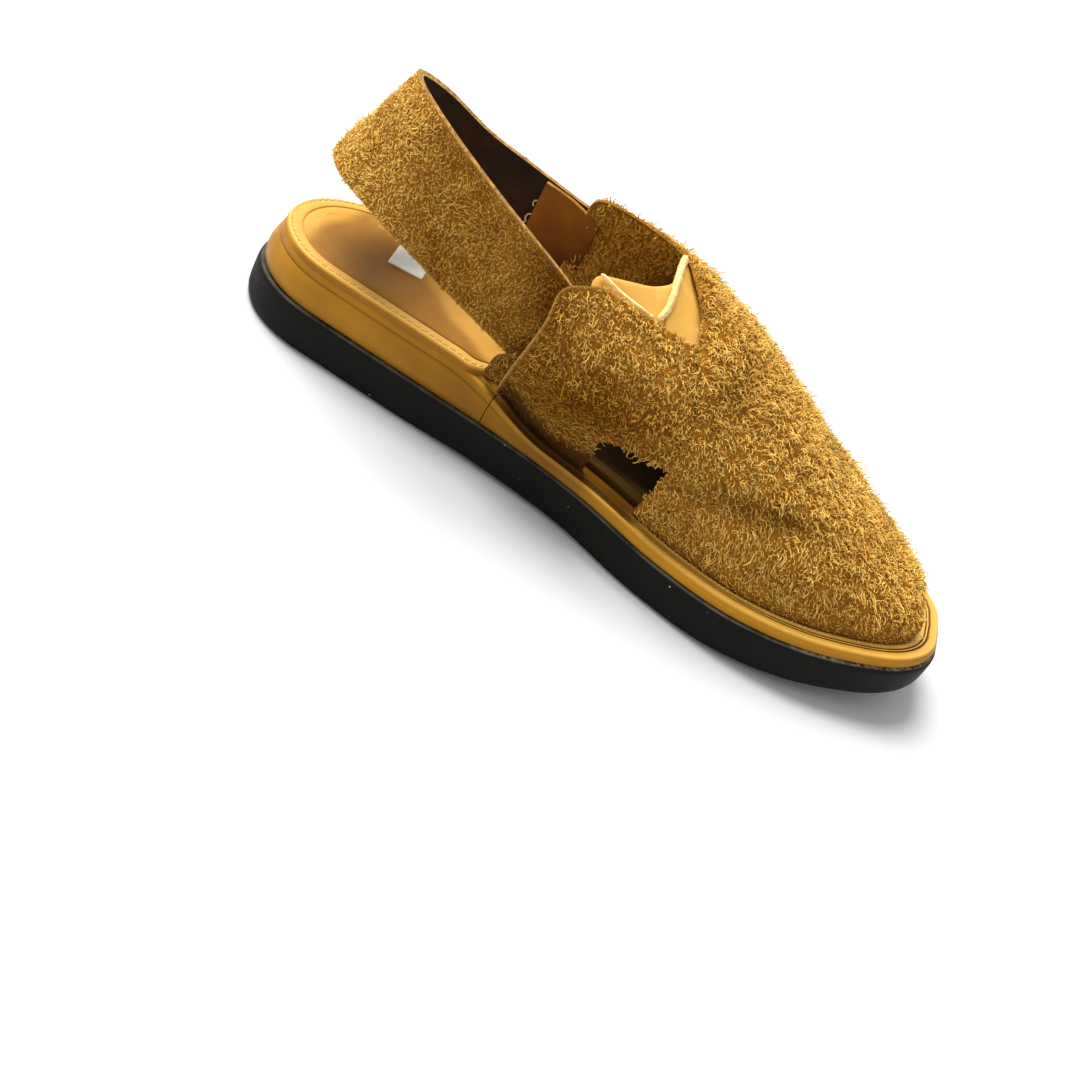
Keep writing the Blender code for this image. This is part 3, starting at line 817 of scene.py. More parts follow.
# a blank cloth label glued on the footbed
def makeLabel():
    turn, long, short = math.radians(label["turn"]), label["long"], label["short"]
    alongWay = np.array([math.cos(turn), math.sin(turn)])
    acrossWay = np.array([math.sin(turn), -math.cos(turn)])
    u, v = np.meshgrid(np.linspace(0, 1, 15), np.linspace(0, 1, 25), indexing="ij")
    flatPlace = np.array(label["corner"]) + u[..., None] * short * acrossWay + v[..., None] * long * alongWay
    x, y = flatPlace[..., 0], flatPlace[..., 1]
    outline = smoothCurve(soleOutline["station"], soleOutline["outer"], x / length)
    half = outline - sandal["insoleInset"] - footbed["grooveInset"] - 4.5
    bed = footbedTop(x / length) - footbed["dish"] * np.clip(1 - (y / half) ** 2, 0, 1)
    edge = np.minimum(np.minimum(u, 1 - u) * short, np.minimum(v, 1 - v) * long)
    ripple = 0.08 * waves(np.stack([x, y, bed], -1), 7, 3)
    top = bed + label["thickness"] * (0.55 + 0.45 * ease(edge / 0.6)) + ripple + label["lift"]
    outer, inner = np.stack([x, y, top], -1), np.stack([x, y, bed - 0.15], -1)
    settle(slabPiece("blankLabel", outer, inner, ["label"] * 3), "tan_leather")


makeOutsole()
makeWraps()
makeFootbed()
makeLabel()
print("sole made")


# a Geometry Nodes tree, and short ways to build it
class Tree:
    def __init__(self, name):
        self.tree = bpy.data.node_groups.new(name, "GeometryNodeTree")
        for way in ("OUTPUT", "INPUT"):
            self.tree.interface.new_socket("Geometry", in_out=way, socket_type="NodeSocketGeometry")
        self.nodes, self.links = self.tree.nodes, self.tree.links
        self.source = self.nodes.new("NodeGroupInput")
        self.sink = self.nodes.new("NodeGroupOutput")

    def input(self, name, kind="Float"):
        self.tree.interface.new_socket(name, in_out="INPUT", socket_type=f"NodeSocket{kind}")
        return self.source.outputs[name]

    def node(self, kind, inputs=None, **settings):
        node = self.nodes.new(kind)
        for key, value in settings.items():
            setattr(node, key, value)
        for key, value in (inputs or {}).items():
            if isinstance(value, bpy.types.NodeSocket):
                self.links.new(value, node.inputs[key])
            else:
                node.inputs[key].default_value = value
        return node

    # a node's first output
    def first(self, kind, inputs=None, **settings):
        return self.node(kind, inputs, **settings).outputs[0]

    def maths(self, kind, *values):
        return self.first("ShaderNodeMath", dict(enumerate(values)), operation=kind)

    def times(self, *values):
        total = values[0]
        for value in values[1:]:
            total = self.maths("MULTIPLY", total, value)
        return total

    def plus(self, a, b):
        return self.maths("ADD", a, b)

    def vector(self, kind, *values):
        return self.first("ShaderNodeVectorMath", dict(enumerate(values)), operation=kind)

    def scaled(self, vector, scale):
        return self.first("ShaderNodeVectorMath", {0: vector, "Scale": scale}, operation="SCALE")

    def combine(self, *values):
        return self.first("ShaderNodeCombineXYZ", dict(enumerate(values)))

    def named(self, name, kind="FLOAT"):
        node = self.node("GeometryNodeInputNamedAttribute", {"Name": name}, data_type=kind)
        return node.outputs["Attribute"]

    def store(self, geometry, name, value, kind="FLOAT"):
        inputs = {"Geometry": geometry, "Name": name, "Value": value}
        return self.node("GeometryNodeStoreNamedAttribute", inputs, data_type=kind).outputs["Geometry"]

    def dice(self, low, high, seed, kind="FLOAT"):
        node = self.node("FunctionNodeRandomValue", {"Seed": seed}, data_type=kind)
        ends = [socket for socket in node.inputs if socket.name in ("Min", "Max") and socket.enabled]
        ends[0].default_value, ends[1].default_value = low, high
        return [socket for socket in node.outputs if socket.enabled][0]

    def end(self, geometry, material):
        solid = self.first("GeometryNodeRealizeInstances", {"Geometry": geometry})
        coloured = self.first("GeometryNodeSetMaterial", {"Geometry": solid, "Material": material})
        self.links.new(coloured, self.sink.inputs["Geometry"])
        return self.tree


# runs a tree on a carrier and gives back its result as a plain mesh object
def grown(carrier, tree, name, values, keep=()):
    modifier = carrier.modifiers.new("grow", "NODES")
    modifier.node_group = tree
    sockets = {item.name: item.identifier for item in tree.interface.items_tree if item.in_out == "INPUT"}
    for key, value in values.items():
        modifier[sockets[key]] = value
    mesh = bpy.data.meshes.new_from_object(carrier.evaluated_get(bpy.context.evaluated_depsgraph_get()))
    mesh.name = name
    data = carrier.data
    bpy.data.objects.remove(carrier)
    (bpy.data.meshes if isinstance(data, bpy.types.Mesh) else bpy.data.curves).remove(data)
    keep = (*keep, "position", "sharp_face", "material_index", "sharp_edge")
    for layer in [a.name for a in mesh.attributes if not a.is_internal and not a.is_required]:
        if layer not in keep:
            mesh.attributes.remove(mesh.attributes[layer])
    return place(name, mesh)


# a row of short stitches that follow a path, each a small bowed thread
def stitchTree():
    t = Tree("stitchRow")
    pitch, size, thick, slant = (t.input(name) for name in ("Pitch", "Stitch length", "Thickness", "Slant"))
    seed, material = t.input("Seed", "Int"), t.input("Finish", "Material")
    row = t.node("GeometryNodeCurveToPoints", {"Curve": t.source.outputs["Geometry"], "Length": pitch},
                 mode="LENGTH")
    bow, half = t.times(thick, 1.1), t.times(size, 0.5)
    low = t.times(bow, -1.2)
    arc = t.first("GeometryNodeCurveQuadraticBezier", {
        "Resolution": 5, "Start": t.combine(0.0, low, t.times(half, -1.0)),
        "Middle": t.combine(0.0, t.times(bow, 1.6), 0.0), "End": t.combine(0.0, low, half)})
    ring = t.first("GeometryNodeCurvePrimitiveCircle", {"Resolution": 6, "Radius": thick})
    thread = t.first("GeometryNodeCurveToMesh", {"Curve": arc, "Profile Curve": ring, "Fill Caps": True})
    # each stitch lies along the path with its bow upwards, and slants a little
    aim = t.first("FunctionNodeAlignRotationToVector", {"Vector": row.outputs["Tangent"]}, axis="Z")
    up = t.first("FunctionNodeAlignRotationToVector", {"Rotation": aim, "Vector": (0.0, 0.0, 1.0)},
                 axis="Y", pivot_axis="Z")
    wobble = t.plus(slant, t.dice(-0.08, 0.08, seed))
    tilt = t.first("FunctionNodeEulerToRotation", {"Euler": t.combine(0.0, wobble, 0.0)})
    turned = t.first("FunctionNodeRotateRotation", {"Rotation": up, "Rotate By": tilt},
                     rotation_space="LOCAL")
    many = t.first("GeometryNodeInstanceOnPoints", {
        "Points": row.outputs["Points"], "Instance": thread, "Rotation": turned,
        "Scale": t.combine(1.0, 1.0, t.dice(0.88, 1.1, 7))})
    solid = t.first("GeometryNodeRealizeInstances", {"Geometry": many})
    return t.end(t.first("GeometryNodeSetShadeSmooth", {"Geometry": solid}), material)


seams = {
    "footbedStitches": {"first": 0.0, "last": 0.40, "drop": 0.05, "slot": "tan_leather",
                        "pitch": 2.9, "size": 1.9, "thick": 0.24, "slant": 0.22, "seed": 3},
    "rimStitches": {"first": 0.605, "last": 1.0, "inset": 9.2, "drop": 0.02, "slot": "ochre_leather",
                    "pitch": 1.7, "size": 1.3, "thick": 0.22, "slant": 1.1, "seed": 5},
}


# stitches along a line round the sole, from the inner side round the heel or the toe to the outer side
def stitches(name, inset, bed):
    seam = seams[name]

    def height(s):
        return bed(s) - seam["drop"]

    s = soleStations(seam["first"], seam["last"])
    inner, outer = (sideLine(s, side, inset, height) for side in (-1, 1))
    halves = (inner[::-1], outer[1:]) if seam["first"] == 0.0 else (inner, outer[::-1][1:])
    points = toWorld(np.concatenate(halves))
    data = bpy.data.curves.new(name + "Path", "CURVE")
    data.dimensions = "3D"
    spline = data.splines.new("POLY")
    spline.points.add(len(points) - 1)
    spline.points.foreach_set("co", np.column_stack([points, np.ones(len(points))]).ravel())
    values = {"Pitch": seam["pitch"] / 1000, "Stitch length": seam["size"] / 1000,
              "Thickness": seam["thick"] / 1000, "Slant": seam["slant"], "Seed": seam["seed"],
              "Finish": finish["thread"]}
    settle(grown(place(name + "Path", data), stitchRow, name, values), seam["slot"])


stitchRow = stitchTree()
stitches("footbedStitches", lambda s: footbedInset(s) + footbed["stitchInset"], footbedTop)
stitches("rimStitches", flat(seams["rimStitches"]["inset"]), seat)
print("stitches made")


# half-sizes of the form under the straps, its crown's height and where its ridge runs, by station
strapForm = {
    "station": (0.32, 0.42, 0.52, 0.62, 0.72, 0.82, 0.92, 0.99),
    "inner": (47.5, 50.5, 50.0, 47.5, 45.5, 41.0, 31.0, 17.0),
    "outer": (43.0, 44.0, 44.0, 44.0, 43.0, 39.5, 29.5, 17.0),
    "crown": (71.0, 72.0, 67.5, 58.5, 45.0, 30.5, 15.5, 7.5),
    "ridge": (0.0, -1.5, -3.0, -4.0, -3.5, -2.0, -0.5, 0.0),
    "setback": (0.0, 0.0, 0.0, 0.0, 0.0, 0.0, 0.0, 11.0),
}


# a place on the form at a station and a way round it, from -1 at the inner foot over 0 to 1 at the outer foot
def formPoint(s, a):
    s, a = np.broadcast_arrays(np.asarray(s, float), np.asarray(a, float))
    inward = a < 0
    innerX, innerY = edgePoint(s, -1, sandal["strapInset"])
    outerX, outerY = edgePoint(s, 1, sandal["strapInset"])
    footX, footY = np.where(inward, innerX, outerX), np.where(inward, innerY, outerY)
    inner, outer, crown, ridge, setback = (
        smoothCurve(strapForm["station"], strapForm[key], s)
        for key in ("inner", "outer", "crown", "ridge", "setback"))
    widest = np.where(inward, -inner, outer)
    rise = (1 - np.abs(a)) * math.pi / 2
    across = np.maximum(np.cos(rise), 0.0) ** (2 / sandal["sectionSide"])
    tuck = (widest - footY) * (1 - np.sin(rise)) ** 3
    x = footX + (s * length - setback - footX) * (1 - across)
    y = ridge + across * (widest - ridge) - tuck
    over = crown * np.maximum(np.sin(rise), 0.0) ** (2 / sandal["sectionCrown"])
    return np.stack([x, y, seat(footX / length) + sandal["gap"] + over], -1)


def formNormal(s, a):
    step = 1e-3
    along = formPoint(s + step, a) - formPoint(s - step, a)
    across = formPoint(s, np.minimum(a + step, 1)) - formPoint(s, np.maximum(a - step, -1))
    return unit(np.cross(along, across))


topStrap = {
    "around": (-1.00, -0.78, -0.60, -0.45, -0.34, -0.18, 0.00, 0.20, 0.36, 0.47, 0.64, 0.78, 0.86, 1.00),
    "rear": (0.572, 0.581, 0.583, 0.566, 0.545, 0.525, 0.490, 0.445, 0.385, 0.338, 0.332, 0.332, 0.333,
             0.338),
    "front": (0.991, 0.988, 0.983, 0.978, 0.974, 0.970, 0.964, 0.925, 0.860, 0.780, 0.680, 0.590, 0.520,
              0.520),
    "lift": (0.0, 0.0, 0.7, 1.0, 1.0, 1.0, 1.0, 1.0, 1.0, 1.0, 0.8, 0.2, 0.0, 0.0),
    "lipFrom": 0.46,
    # three stops as station and way round, then depth and width; a ridge has a negative depth
    "creases": (
        ((0.600, -0.74), (0.70, -0.60), (0.80, -0.42), 1.1, 5.0),
        ((0.640, -0.86), (0.74, -0.72), (0.84, -0.55), -0.9, 6.0),
        ((0.585, -0.55), (0.60, -0.30), (0.60, -0.05), 0.8, 5.0),
        ((0.700, 0.45), (0.74, 0.15), (0.76, -0.10), 0.9, 7.0),
        ((0.480, 0.55), (0.56, 0.42), (0.62, 0.22), 0.9, 6.0),
        ((0.820, 0.30), (0.86, 0.00), (0.86, -0.35), 0.7, 6.0)),
}
underStrap = {
    "around": (-1.00, -0.88, -0.83, -0.81, -0.78, -0.745, -0.64, -0.49, -0.43, -0.38, -0.33, -0.28, -0.10,
               0.08, 0.45, 0.60, 0.78, 1.00),
    "rear": (0.366, 0.372, 0.375, 0.376, 0.378, 0.380, 0.384, 0.386, 0.405, 0.428, 0.500, 0.550, 0.560,
             0.562, 0.565, 0.583, 0.588, 0.572),
    "front": (0.500, 0.500, 0.501, 0.508, 0.540, 0.580, 0.680, 0.780, 0.820, 0.850, 0.870, 0.890, 0.940,
              0.966, 0.977, 0.980, 0.984, 0.985),
    "lift": (0.0,) * 18,
    "lipFrom": -0.36,
    "creases": (
        ((0.400, -0.82), (0.47, -0.76), (0.55, -0.70), 0.9, 4.0),
        ((0.420, -0.60), (0.48, -0.52), (0.54, -0.46), -0.8, 6.0),
        ((0.900, 0.55), (0.84, 0.70), (0.76, 0.80), 0.6, 5.0)),
}
hide = {"napDepth": 1.3, "ripple": 0.35, "lipOut": 1.6, "edgeIn": 0.7, "lipReach": 0.75, "frontReach": 0.9}


# soft troughs and ridges along short bent lines on the form
def creased(points, normals, creases):
    at = np.linspace(0, 1, 25)
    fade = np.sin(np.linspace(0.12, math.pi - 0.12, 25))
    total = np.zeros(points.shape[:-1])
    for *stops, depth, width in creases:
        line = formPoint(*smoothPath(stops, at))
        gap = np.linalg.norm(points[..., None, :] - line, axis=-1)
        total -= depth * fade[gap.argmin(-1)] * nearEdge(gap.min(-1), width)
    return points + normals * total[..., None], total


# how far each point of a grid lies from the start and from the end of its row, along the sheet
def rowReach(grid):
    steps = np.linalg.norm(np.diff(grid, axis=1), axis=-1)
    total = np.concatenate([np.zeros_like(steps[:, :1]), np.cumsum(steps, 1)], 1)
    return total, total[:, -1:] - total


# unit directions along the rows and the columns of a grid
def edgeWays(grid):
    return unit(np.gradient(grid, axis=1)), unit(np.gradient(grid, axis=0))


def strapEdges(strap, around):
    return (smoothCurve(strap["around"], strap[key], around) for key in ("rear", "front", "lift"))


def coveredBy(strap, station, around, hem):
    rear, front, lift = strapEdges(strap, around)
    return (station > rear + hem) & (station < front - hem) & (lift > 0.25)


# where a strap's rear edge shows its cut lip: only along the wing, not where the straps cross
def lipShare(strap, around):
    way = 1 if strap["lipFrom"] > 0 else -1
    return ease((way * around - abs(strap["lipFrom"])) / 0.06)


def seatedAt(sheet):
    return seat(sheet[..., 0] / length) + sandal["gap"] - 0.1


def strapFaces(strap):
    around = divided(strap["around"], 0.022)[:, None]
    rear, front, lift = strapEdges(strap, around)
    station = rear + (front - rear) * edgedShares(56, 0.012)
    around = np.broadcast_to(around, station.shape)
    lift = np.broadcast_to(lift, station.shape) * (sandal["wall"] - sandal["lap"])
    base, normal = formPoint(station, around), formNormal(station, around)
    outward = lift - hide["napDepth"] + hide["ripple"] * waves(base, 22, 11)
    outer, bend = creased(base + normal * outward[..., None], normal, strap["creases"])
    inward = lift - sandal["wall"] + 0.5
    inner = creased(base + normal * inward[..., None], normal, strap["creases"])[0]
    # the rear edge of each wing shows its cut lip, the other edges are rounded under the fur
    behind, ahead = rowReach(outer)
    rear, front = nearEdge(behind, hide["lipReach"]), nearEdge(ahead, hide["frontReach"])
    lip = rear * lipShare(strap, around)
    outer = outer + normal * (hide["lipOut"] * lip - hide["edgeIn"] * (rear + front))[..., None]
    for sheet in (outer, inner):
        lowest = seatedAt(sheet)
        sheet[..., 2] = np.maximum(sheet[..., 2], lowest)
        for end in (0, -1):
            sheet[end, :, 2] = lowest[end]
    return {"station": station, "around": around, "outer": outer, "inner": inner, "lip": lip, "bend": bend}


# the pale tone carries painted light and shade: lighter on the toe's far side and on ridges, darker on the
# inner side, the inner wing and in creases
fur = {
    "pale": 0.94, "toeLitPale": 0.14, "innerSideShade": 0.10, "wingPaleShade": 0.60, "bendLightShade": 0.35,
    "blotches": ((0.16, 26, 71), (0.2, 8, 74)),       # strength, pitch and seed
    "footBand": 12.0,       # height over the sole of the smooth dark band at the inner wing's foot
    "wingShade": 0.25, "bandShade": 0.5, "creaseShade": 0.28, "footShade": 0.30,
}


# How pale and how dark the fur is over the form. Painted light: paler on top, on the toe's far side and on
# ridges.
# Painted shade: darker on the inner side, low on the inner wing, in creases and at the foot. The blotches are
# random tone. The last value is the share of the smooth band.
def furTone(station, around, points, bend):
    height = points[..., 2] - seat(points[..., 0] / length)
    wing = ease((-around - 0.42) / 0.25) * ease((0.60 - station) / 0.08)
    toe = ease((station - 0.62) / 0.15)
    far = ease((around + 0.55) / 0.6)
    pale = fur["pale"] + fur["toeLitPale"] * toe * far - fur["innerSideShade"] * (1 - far) - fur["wingPaleShade"] * wing
    for strength, pitch, seed in fur["blotches"]:
        pale = pale + strength * waves(points, pitch, seed)
    pale = pale + fur["bendLightShade"] * bend
    band = ease((fur["footBand"] + 2.0 * waves(points, 30, 72) - height) / 5.0) * wing
    dark = fur["wingShade"] * ease((30 - height) / 24) * wing + fur["bandShade"] * band
    dark = dark + fur["creaseShade"] * np.maximum(-bend, 0)
    low = fur["footShade"] * ease((5.0 - height) / 5.0)
    return np.clip(pale, 0, 1), np.clip(np.maximum(dark, low), 0, 1), band


straps = {"topStrapHide": topStrap, "underStrapHide": underStrap}


def makeStrapHides():
    made = {}
    for name, strap in straps.items():
        faces = strapFaces(strap)
        outer, lip = faces["outer"], faces["lip"]
        pale, dark = furTone(faces["station"], faces["around"], outer, faces["bend"])[:2]
        # painted shade on the lining side deeper in the shoe; the pale tone there is set full as painted
        # light
        inside = ease((rowReach(outer)[0] - 34) / 12)       # the lining side gets darker towards the toe
        marks = {"cut": lip, "shade": (dark * (1 - lip), inside), "pale": (pale, np.ones_like(pale))}
        nodes = ["upper"] if strap is topStrap else []
        settle(slabPiece(name, outer, faces["inner"], ["suede"] * 3, marks, 60), "shaggy_suede", *nodes)
        made[name] = faces
    return made


underlay = {
    "station": (0.340, 0.392), "around": (-1.0, -0.80), "lean": 0.030, "thickness": 1.5, "depth": 1.6,
    "lip": 0.5, "shade": 0.55, "pale": 0.3,
    "napShade": 0.3, "napPale": 0.45, "napDensity": 1.6, "napReach": 1.7, "napThick": 0.22,
}


# The end of the inner layer that shows behind the inner wing's foot. It gives back its face and where nap
# grows on it.
def makeUnderlay():
    u, v = np.meshgrid(np.linspace(0, 1, 22), edgedShares(22, 0.05), indexing="ij")
    low, high = underlay["around"]
    around = low + (high - low) * u
    rear = underlay["station"][0] + underlay["lean"] * u**1.5 + 0.002 * np.sin(9 * u)
    station = rear + (underlay["station"][1] - rear) * v
    base, normal = formPoint(station, around), formNormal(station, around)
    outer = base - normal * (underlay["depth"] + 0.2 * waves(base, 8, 15))[..., None]
    inner = base - normal * (underlay["depth"] + underlay["thickness"])
    for sheet in (outer, inner):
        sheet[..., 2] = np.maximum(sheet[..., 2], seatedAt(sheet))
    marks = {"cut": underlay["lip"] * nearEdge(v, 0.06), "shade": np.full_like(v, underlay["shade"]),
             "pale": np.full_like(v, underlay["pale"])}
    settle(slabPiece("wingUnderlay", outer, inner, ["suede"] * 3, marks, 60), "shaggy_suede")
    return outer, 0.9 * (1 - ease((v - 0.3) / 0.5))


underlayFace, underlayShow = makeUnderlay()
hides = makeStrapHides()
print("strap hides made")


fibre = {
    "points": 5, "sides": 3,
    "tufts": 8.0, "stray": 0.38,                # how far tufts and single fibres lean their own way
    "winding": 6.0, "phases": 37.0, "late": 1.9, "coilStand": 0.26, "coil": 0.08,
    "droop": 0.4, "sweep": 1.2, "clearance": 0.12,
}


# Curled fibres that stand on a carrier. The carrier's own attributes steer their number, length and lay.
def napTree():
    t = Tree("curledNap")
    density, reach, thick, curl, clump = (
        t.input(name) for name in ("Density", "Reach", "Thickness", "Curl", "Clump"))
    seed, material = t.input("Seed", "Int"), t.input("Finish", "Material")
    many = t.node("GeometryNodeDistributePointsOnFaces", {
        "Mesh": t.source.outputs["Geometry"], "Density": t.times(density, t.named("nap")), "Seed": seed})
    luck = t.dice(0.0, 1.0, 12)
    longer = t.plus(t.times(luck, 0.4), t.times(t.maths("POWER", luck, 8.0), 0.5))
    points = many.outputs["Points"]
    for name, value, kind in (
            ("rootUp", many.outputs["Normal"], "FLOAT_VECTOR"),
            ("rootPlace", t.first("GeometryNodeInputPosition"), "FLOAT_VECTOR"),
            ("tone", t.dice(0.0, 1.0, 11), "FLOAT"),
            ("stretch", longer, "FLOAT"),
            ("stray", t.dice((-1, -1, -1), (1, 1, 1), 13, "FLOAT_VECTOR"), "FLOAT_VECTOR")):
        points = t.store(points, name, value, kind)
    line = t.first("GeometryNodeCurvePrimitiveLine", {"End": (0.0, 0.0, 1.0)})
    single = t.first("GeometryNodeResampleCurve", {"Curve": line, "Count": fibre["points"]})
    planted = t.first("GeometryNodeInstanceOnPoints", {"Points": points, "Instance": single})
    loose = t.first("GeometryNodeRealizeInstances", {"Geometry": planted})
    loose = t.store(loose, "tip", t.node("GeometryNodeSplineParameter").outputs["Factor"])
    tip, tone, stand = t.named("tip"), t.named("tone"), t.named("stand")
    root, up, comb, stray = (t.named(key, "FLOAT_VECTOR") for key in ("rootPlace", "rootUp", "comb", "stray"))
    size = t.times(t.times(reach, t.named("reach")), t.plus(t.named("stretch"), 0.6))
    # fibres lie together in tufts
    tuft = t.node("ShaderNodeTexNoise", {"Vector": root, "Scale": clump, "Detail": 1.0}).outputs["Color"]
    tuft = t.scaled(t.vector("SUBTRACT", tuft, (0.5, 0.5, 0.5)), t.times(curl, fibre["tufts"], stand))
    lean = t.vector("ADD", t.vector("ADD", comb, tuft), t.scaled(stray, fibre["stray"]))

    # each one winds like a loose spring as it goes
    def spring(angle):
        late = t.maths("SINE", t.plus(angle, fibre["late"]))
        return t.combine(t.maths("SINE", angle), t.maths("COSINE", angle), late)

    phase = t.times(tone, fibre["phases"])
    coil = t.vector("SUBTRACT", spring(t.plus(phase, t.times(tip, fibre["winding"]))), spring(phase))
    coilSize = t.maths("MULTIPLY_ADD", stand, fibre["coilStand"], fibre["coil"])
    coil = t.scaled(coil, t.times(size, curl, coilSize))
    lift = t.times(tip, size, t.maths("SUBTRACT", 1.0, t.times(tip, fibre["droop"])), stand)
    sweep = t.times(t.maths("POWER", tip, fibre["sweep"]), size)
    spot = t.vector("ADD", root, t.scaled(up, lift))
    spot = t.vector("ADD", t.vector("ADD", spot, t.scaled(lean, sweep)), coil)
    # nothing dips under the hide
    away = {0: t.vector("SUBTRACT", spot, root), 1: up}
    over = t.node("ShaderNodeVectorMath", away, operation="DOT_PRODUCT").outputs["Value"]
    lack = t.maths("MAXIMUM", t.maths("SUBTRACT", t.times(sweep, fibre["clearance"]), over), 0.0)
    spot = t.vector("ADD", spot, t.scaled(up, lack))
    bent = t.first("GeometryNodeSetPosition", {"Geometry": loose, "Position": spot})
    ring = t.first("GeometryNodeCurvePrimitiveCircle", {"Resolution": fibre["sides"], "Radius": thick})
    solid = t.first("GeometryNodeCurveToMesh", {
        "Curve": bent, "Profile Curve": ring, "Fill Caps": True,
        "Scale": t.maths("SQRT", t.maths("SUBTRACT", 1.0, tip))})
    closed = t.first("GeometryNodeMergeByDistance", {"Geometry": solid, "Distance": 1e-7})
    return t.end(t.first("GeometryNodeSetShadeSmooth", {"Geometry": closed}), material)


curledNap = napTree()
napSizes = {"reach": 3.5, "thick": 0.245, "curl": 0.6, "clump": 230.0, "gaps": 6.0, "coat": "nap"}


# Grows nap on a grid of points whose faces look outwards. The density is in fibres per square millimetre.
def nap(name, grid, marks, comb, density, seed, **changes):
    sizes = {**napSizes, **changes}
    mesh = bpy.data.meshes.new(name + "Carrier")
    index = np.arange(grid[..., 0].size).reshape(grid.shape[:2])
    mesh.from_pydata([tuple(p) for p in toWorld(grid).reshape(-1, 3)], [], gridFaces(index))
    thinned = marks["nap"] * np.clip(0.85 + 0.6 * waves(grid, sizes["gaps"], seed + 5), 0.2, 1.4)
    markMesh(mesh, {**marks, "nap": thinned})
    layer = mesh.attributes.new("comb", "FLOAT_VECTOR", "POINT")
    layer.data.foreach_set("vector", np.asarray(comb, np.float32).ravel())
    values = {"Density": density * 1e6, "Reach": sizes["reach"] / 1000, "Thickness": sizes["thick"] / 1000,
              "Curl": sizes["curl"], "Clump": sizes["clump"], "Seed": seed, "Finish": finish[sizes["coat"]]}
    carrier = place(name + "Carrier", mesh)
    piece = grown(carrier, curledNap, name, values, keep=("tip", "tone", "shade", "pale"))
    print(name, len(piece.data.polygons), "faces")
    settle(piece, "shaggy_suede")


# hide, the stretch of the way round the form, density and seed
strapNaps = {
    "topStrapNapInner": ("topStrapHide", (-1.0, -0.45), 1.17, 21),
    "topStrapNapCrown": ("topStrapHide", (-0.45, 0.12), 1.3, 22),
    "topStrapNapOuter": ("topStrapHide", (0.12, 1.0), 0.9, 23),
    "underStrapNapInner": ("underStrapHide", (-1.0, 0.1), 1.2, 24),
    "underStrapNapOuter": ("underStrapHide", (0.1, 1.0), 0.95, 25),
}


# how the fibres lie: shares of the way along the strap and of the way down to its foot
lay = {
    "along": 0.3, "down": 0.4, "drift": 0.2,
    "atFoot": (0.9, 0.12), "combed": (0.8, -0.45),         # at the feet, and low on the inner wing
    "strength": 0.8, "overEdge": 0.5, "stand": 0.48, "flatter": 0.3,
}


# a hide's arrays between two places round the form
def hidePart(name, window):
    around = hides[name]["around"][:, 0]
    rows = (around >= window[0] - 1e-6) & (around <= window[1] + 1e-6)
    return {key: values[rows] for key, values in hides[name].items()}


def strapNap(name, hideName, window, density, seed):
    strap, part = straps[hideName], hidePart(hideName, window)
    station, around, outer = part["station"], part["around"], part["outer"]
    alongWay, aroundWay = edgeWays(outer)
    behind, ahead = rowReach(outer)
    downWay = (np.sign(around) * np.abs(around) ** 0.7)[..., None] * aroundWay
    height = outer[..., 2] - seat(outer[..., 0] / length)
    low = ease((8.0 - height) / 7.0)
    pale, dark, band = furTone(station, around, outer, part["bend"])
    # combed flat low on the inner wing and at the feet
    combed = ease((34 - height) / 14) * ease((-around - 0.5) / 0.2) * ease((0.56 - station) / 0.05)
    flow = lay["along"] * alongWay + lay["down"] * downWay + lay["drift"] * drift(outer, 30, seed)
    for share, (along, down) in ((low, lay["atFoot"]), (combed, lay["combed"])):
        flow = flow * (1 - share[..., None]) + share[..., None] * (along * alongWay + down * downWay)
    # over the edges it hangs outwards, but not behind a cut lip
    lip = lipShare(strap, around)
    edgeOut = 0.4 * nearEdge(ahead, 1.6) + 0.6 * (2 * lip - 1) * nearEdge(behind, 2.0)
    edgeOut = (edgeOut * (1 - 0.8 * ease((-around - 0.45) / 0.15)))[..., None] * alongWay
    thin = (1 - 0.93 * band) * (1 - lip * nearEdge(behind, 1.2))
    if strap is underStrap:
        thin = np.where(coveredBy(topStrap, station, around, 0.014), 0.0, thin)
    reach = 1.0 - 0.6 * low - 0.1 * ease((station - 0.8) / 0.1) + 0.25 * combed * (1 - low)
    reach = reach - 0.35 * nearEdge(ahead, 2.5)
    stand = lay["stand"] - lay["flatter"] * np.maximum(low, combed)
    marks = {"nap": thin, "reach": reach, "stand": stand, "shade": dark, "pale": pale}
    nap(name, outer, marks, lay["strength"] * flow + lay["overEdge"] * edgeOut, density, seed)


def evenMarks(like, **values):
    return {key: np.full_like(like, value) for key, value in values.items()}


# rough short nap on the end of the inner layer
def underlayNap():
    g = underlay
    alongWay, aroundWay = edgeWays(underlayFace)
    marks = {"nap": underlayShow,
             **evenMarks(underlayShow, reach=1.0, stand=0.35, shade=g["napShade"], pale=g["napPale"])}
    nap("wingUnderlayNap", underlayFace, marks, 0.2 * alongWay - 0.5 * aroundWay, g["napDensity"], 33,
        reach=g["napReach"], thick=g["napThick"])


# hide, the stretch of the way round the form, how far in from the open edge, density and seed
innerNaps = {
    "outerWingInnerNap": ("topStrapHide", (0.05, 0.93), 36, 1.3, 31),
    "innerWingInnerNap": ("underStrapHide", (-0.93, -0.42), 26, 0.7, 32),
}


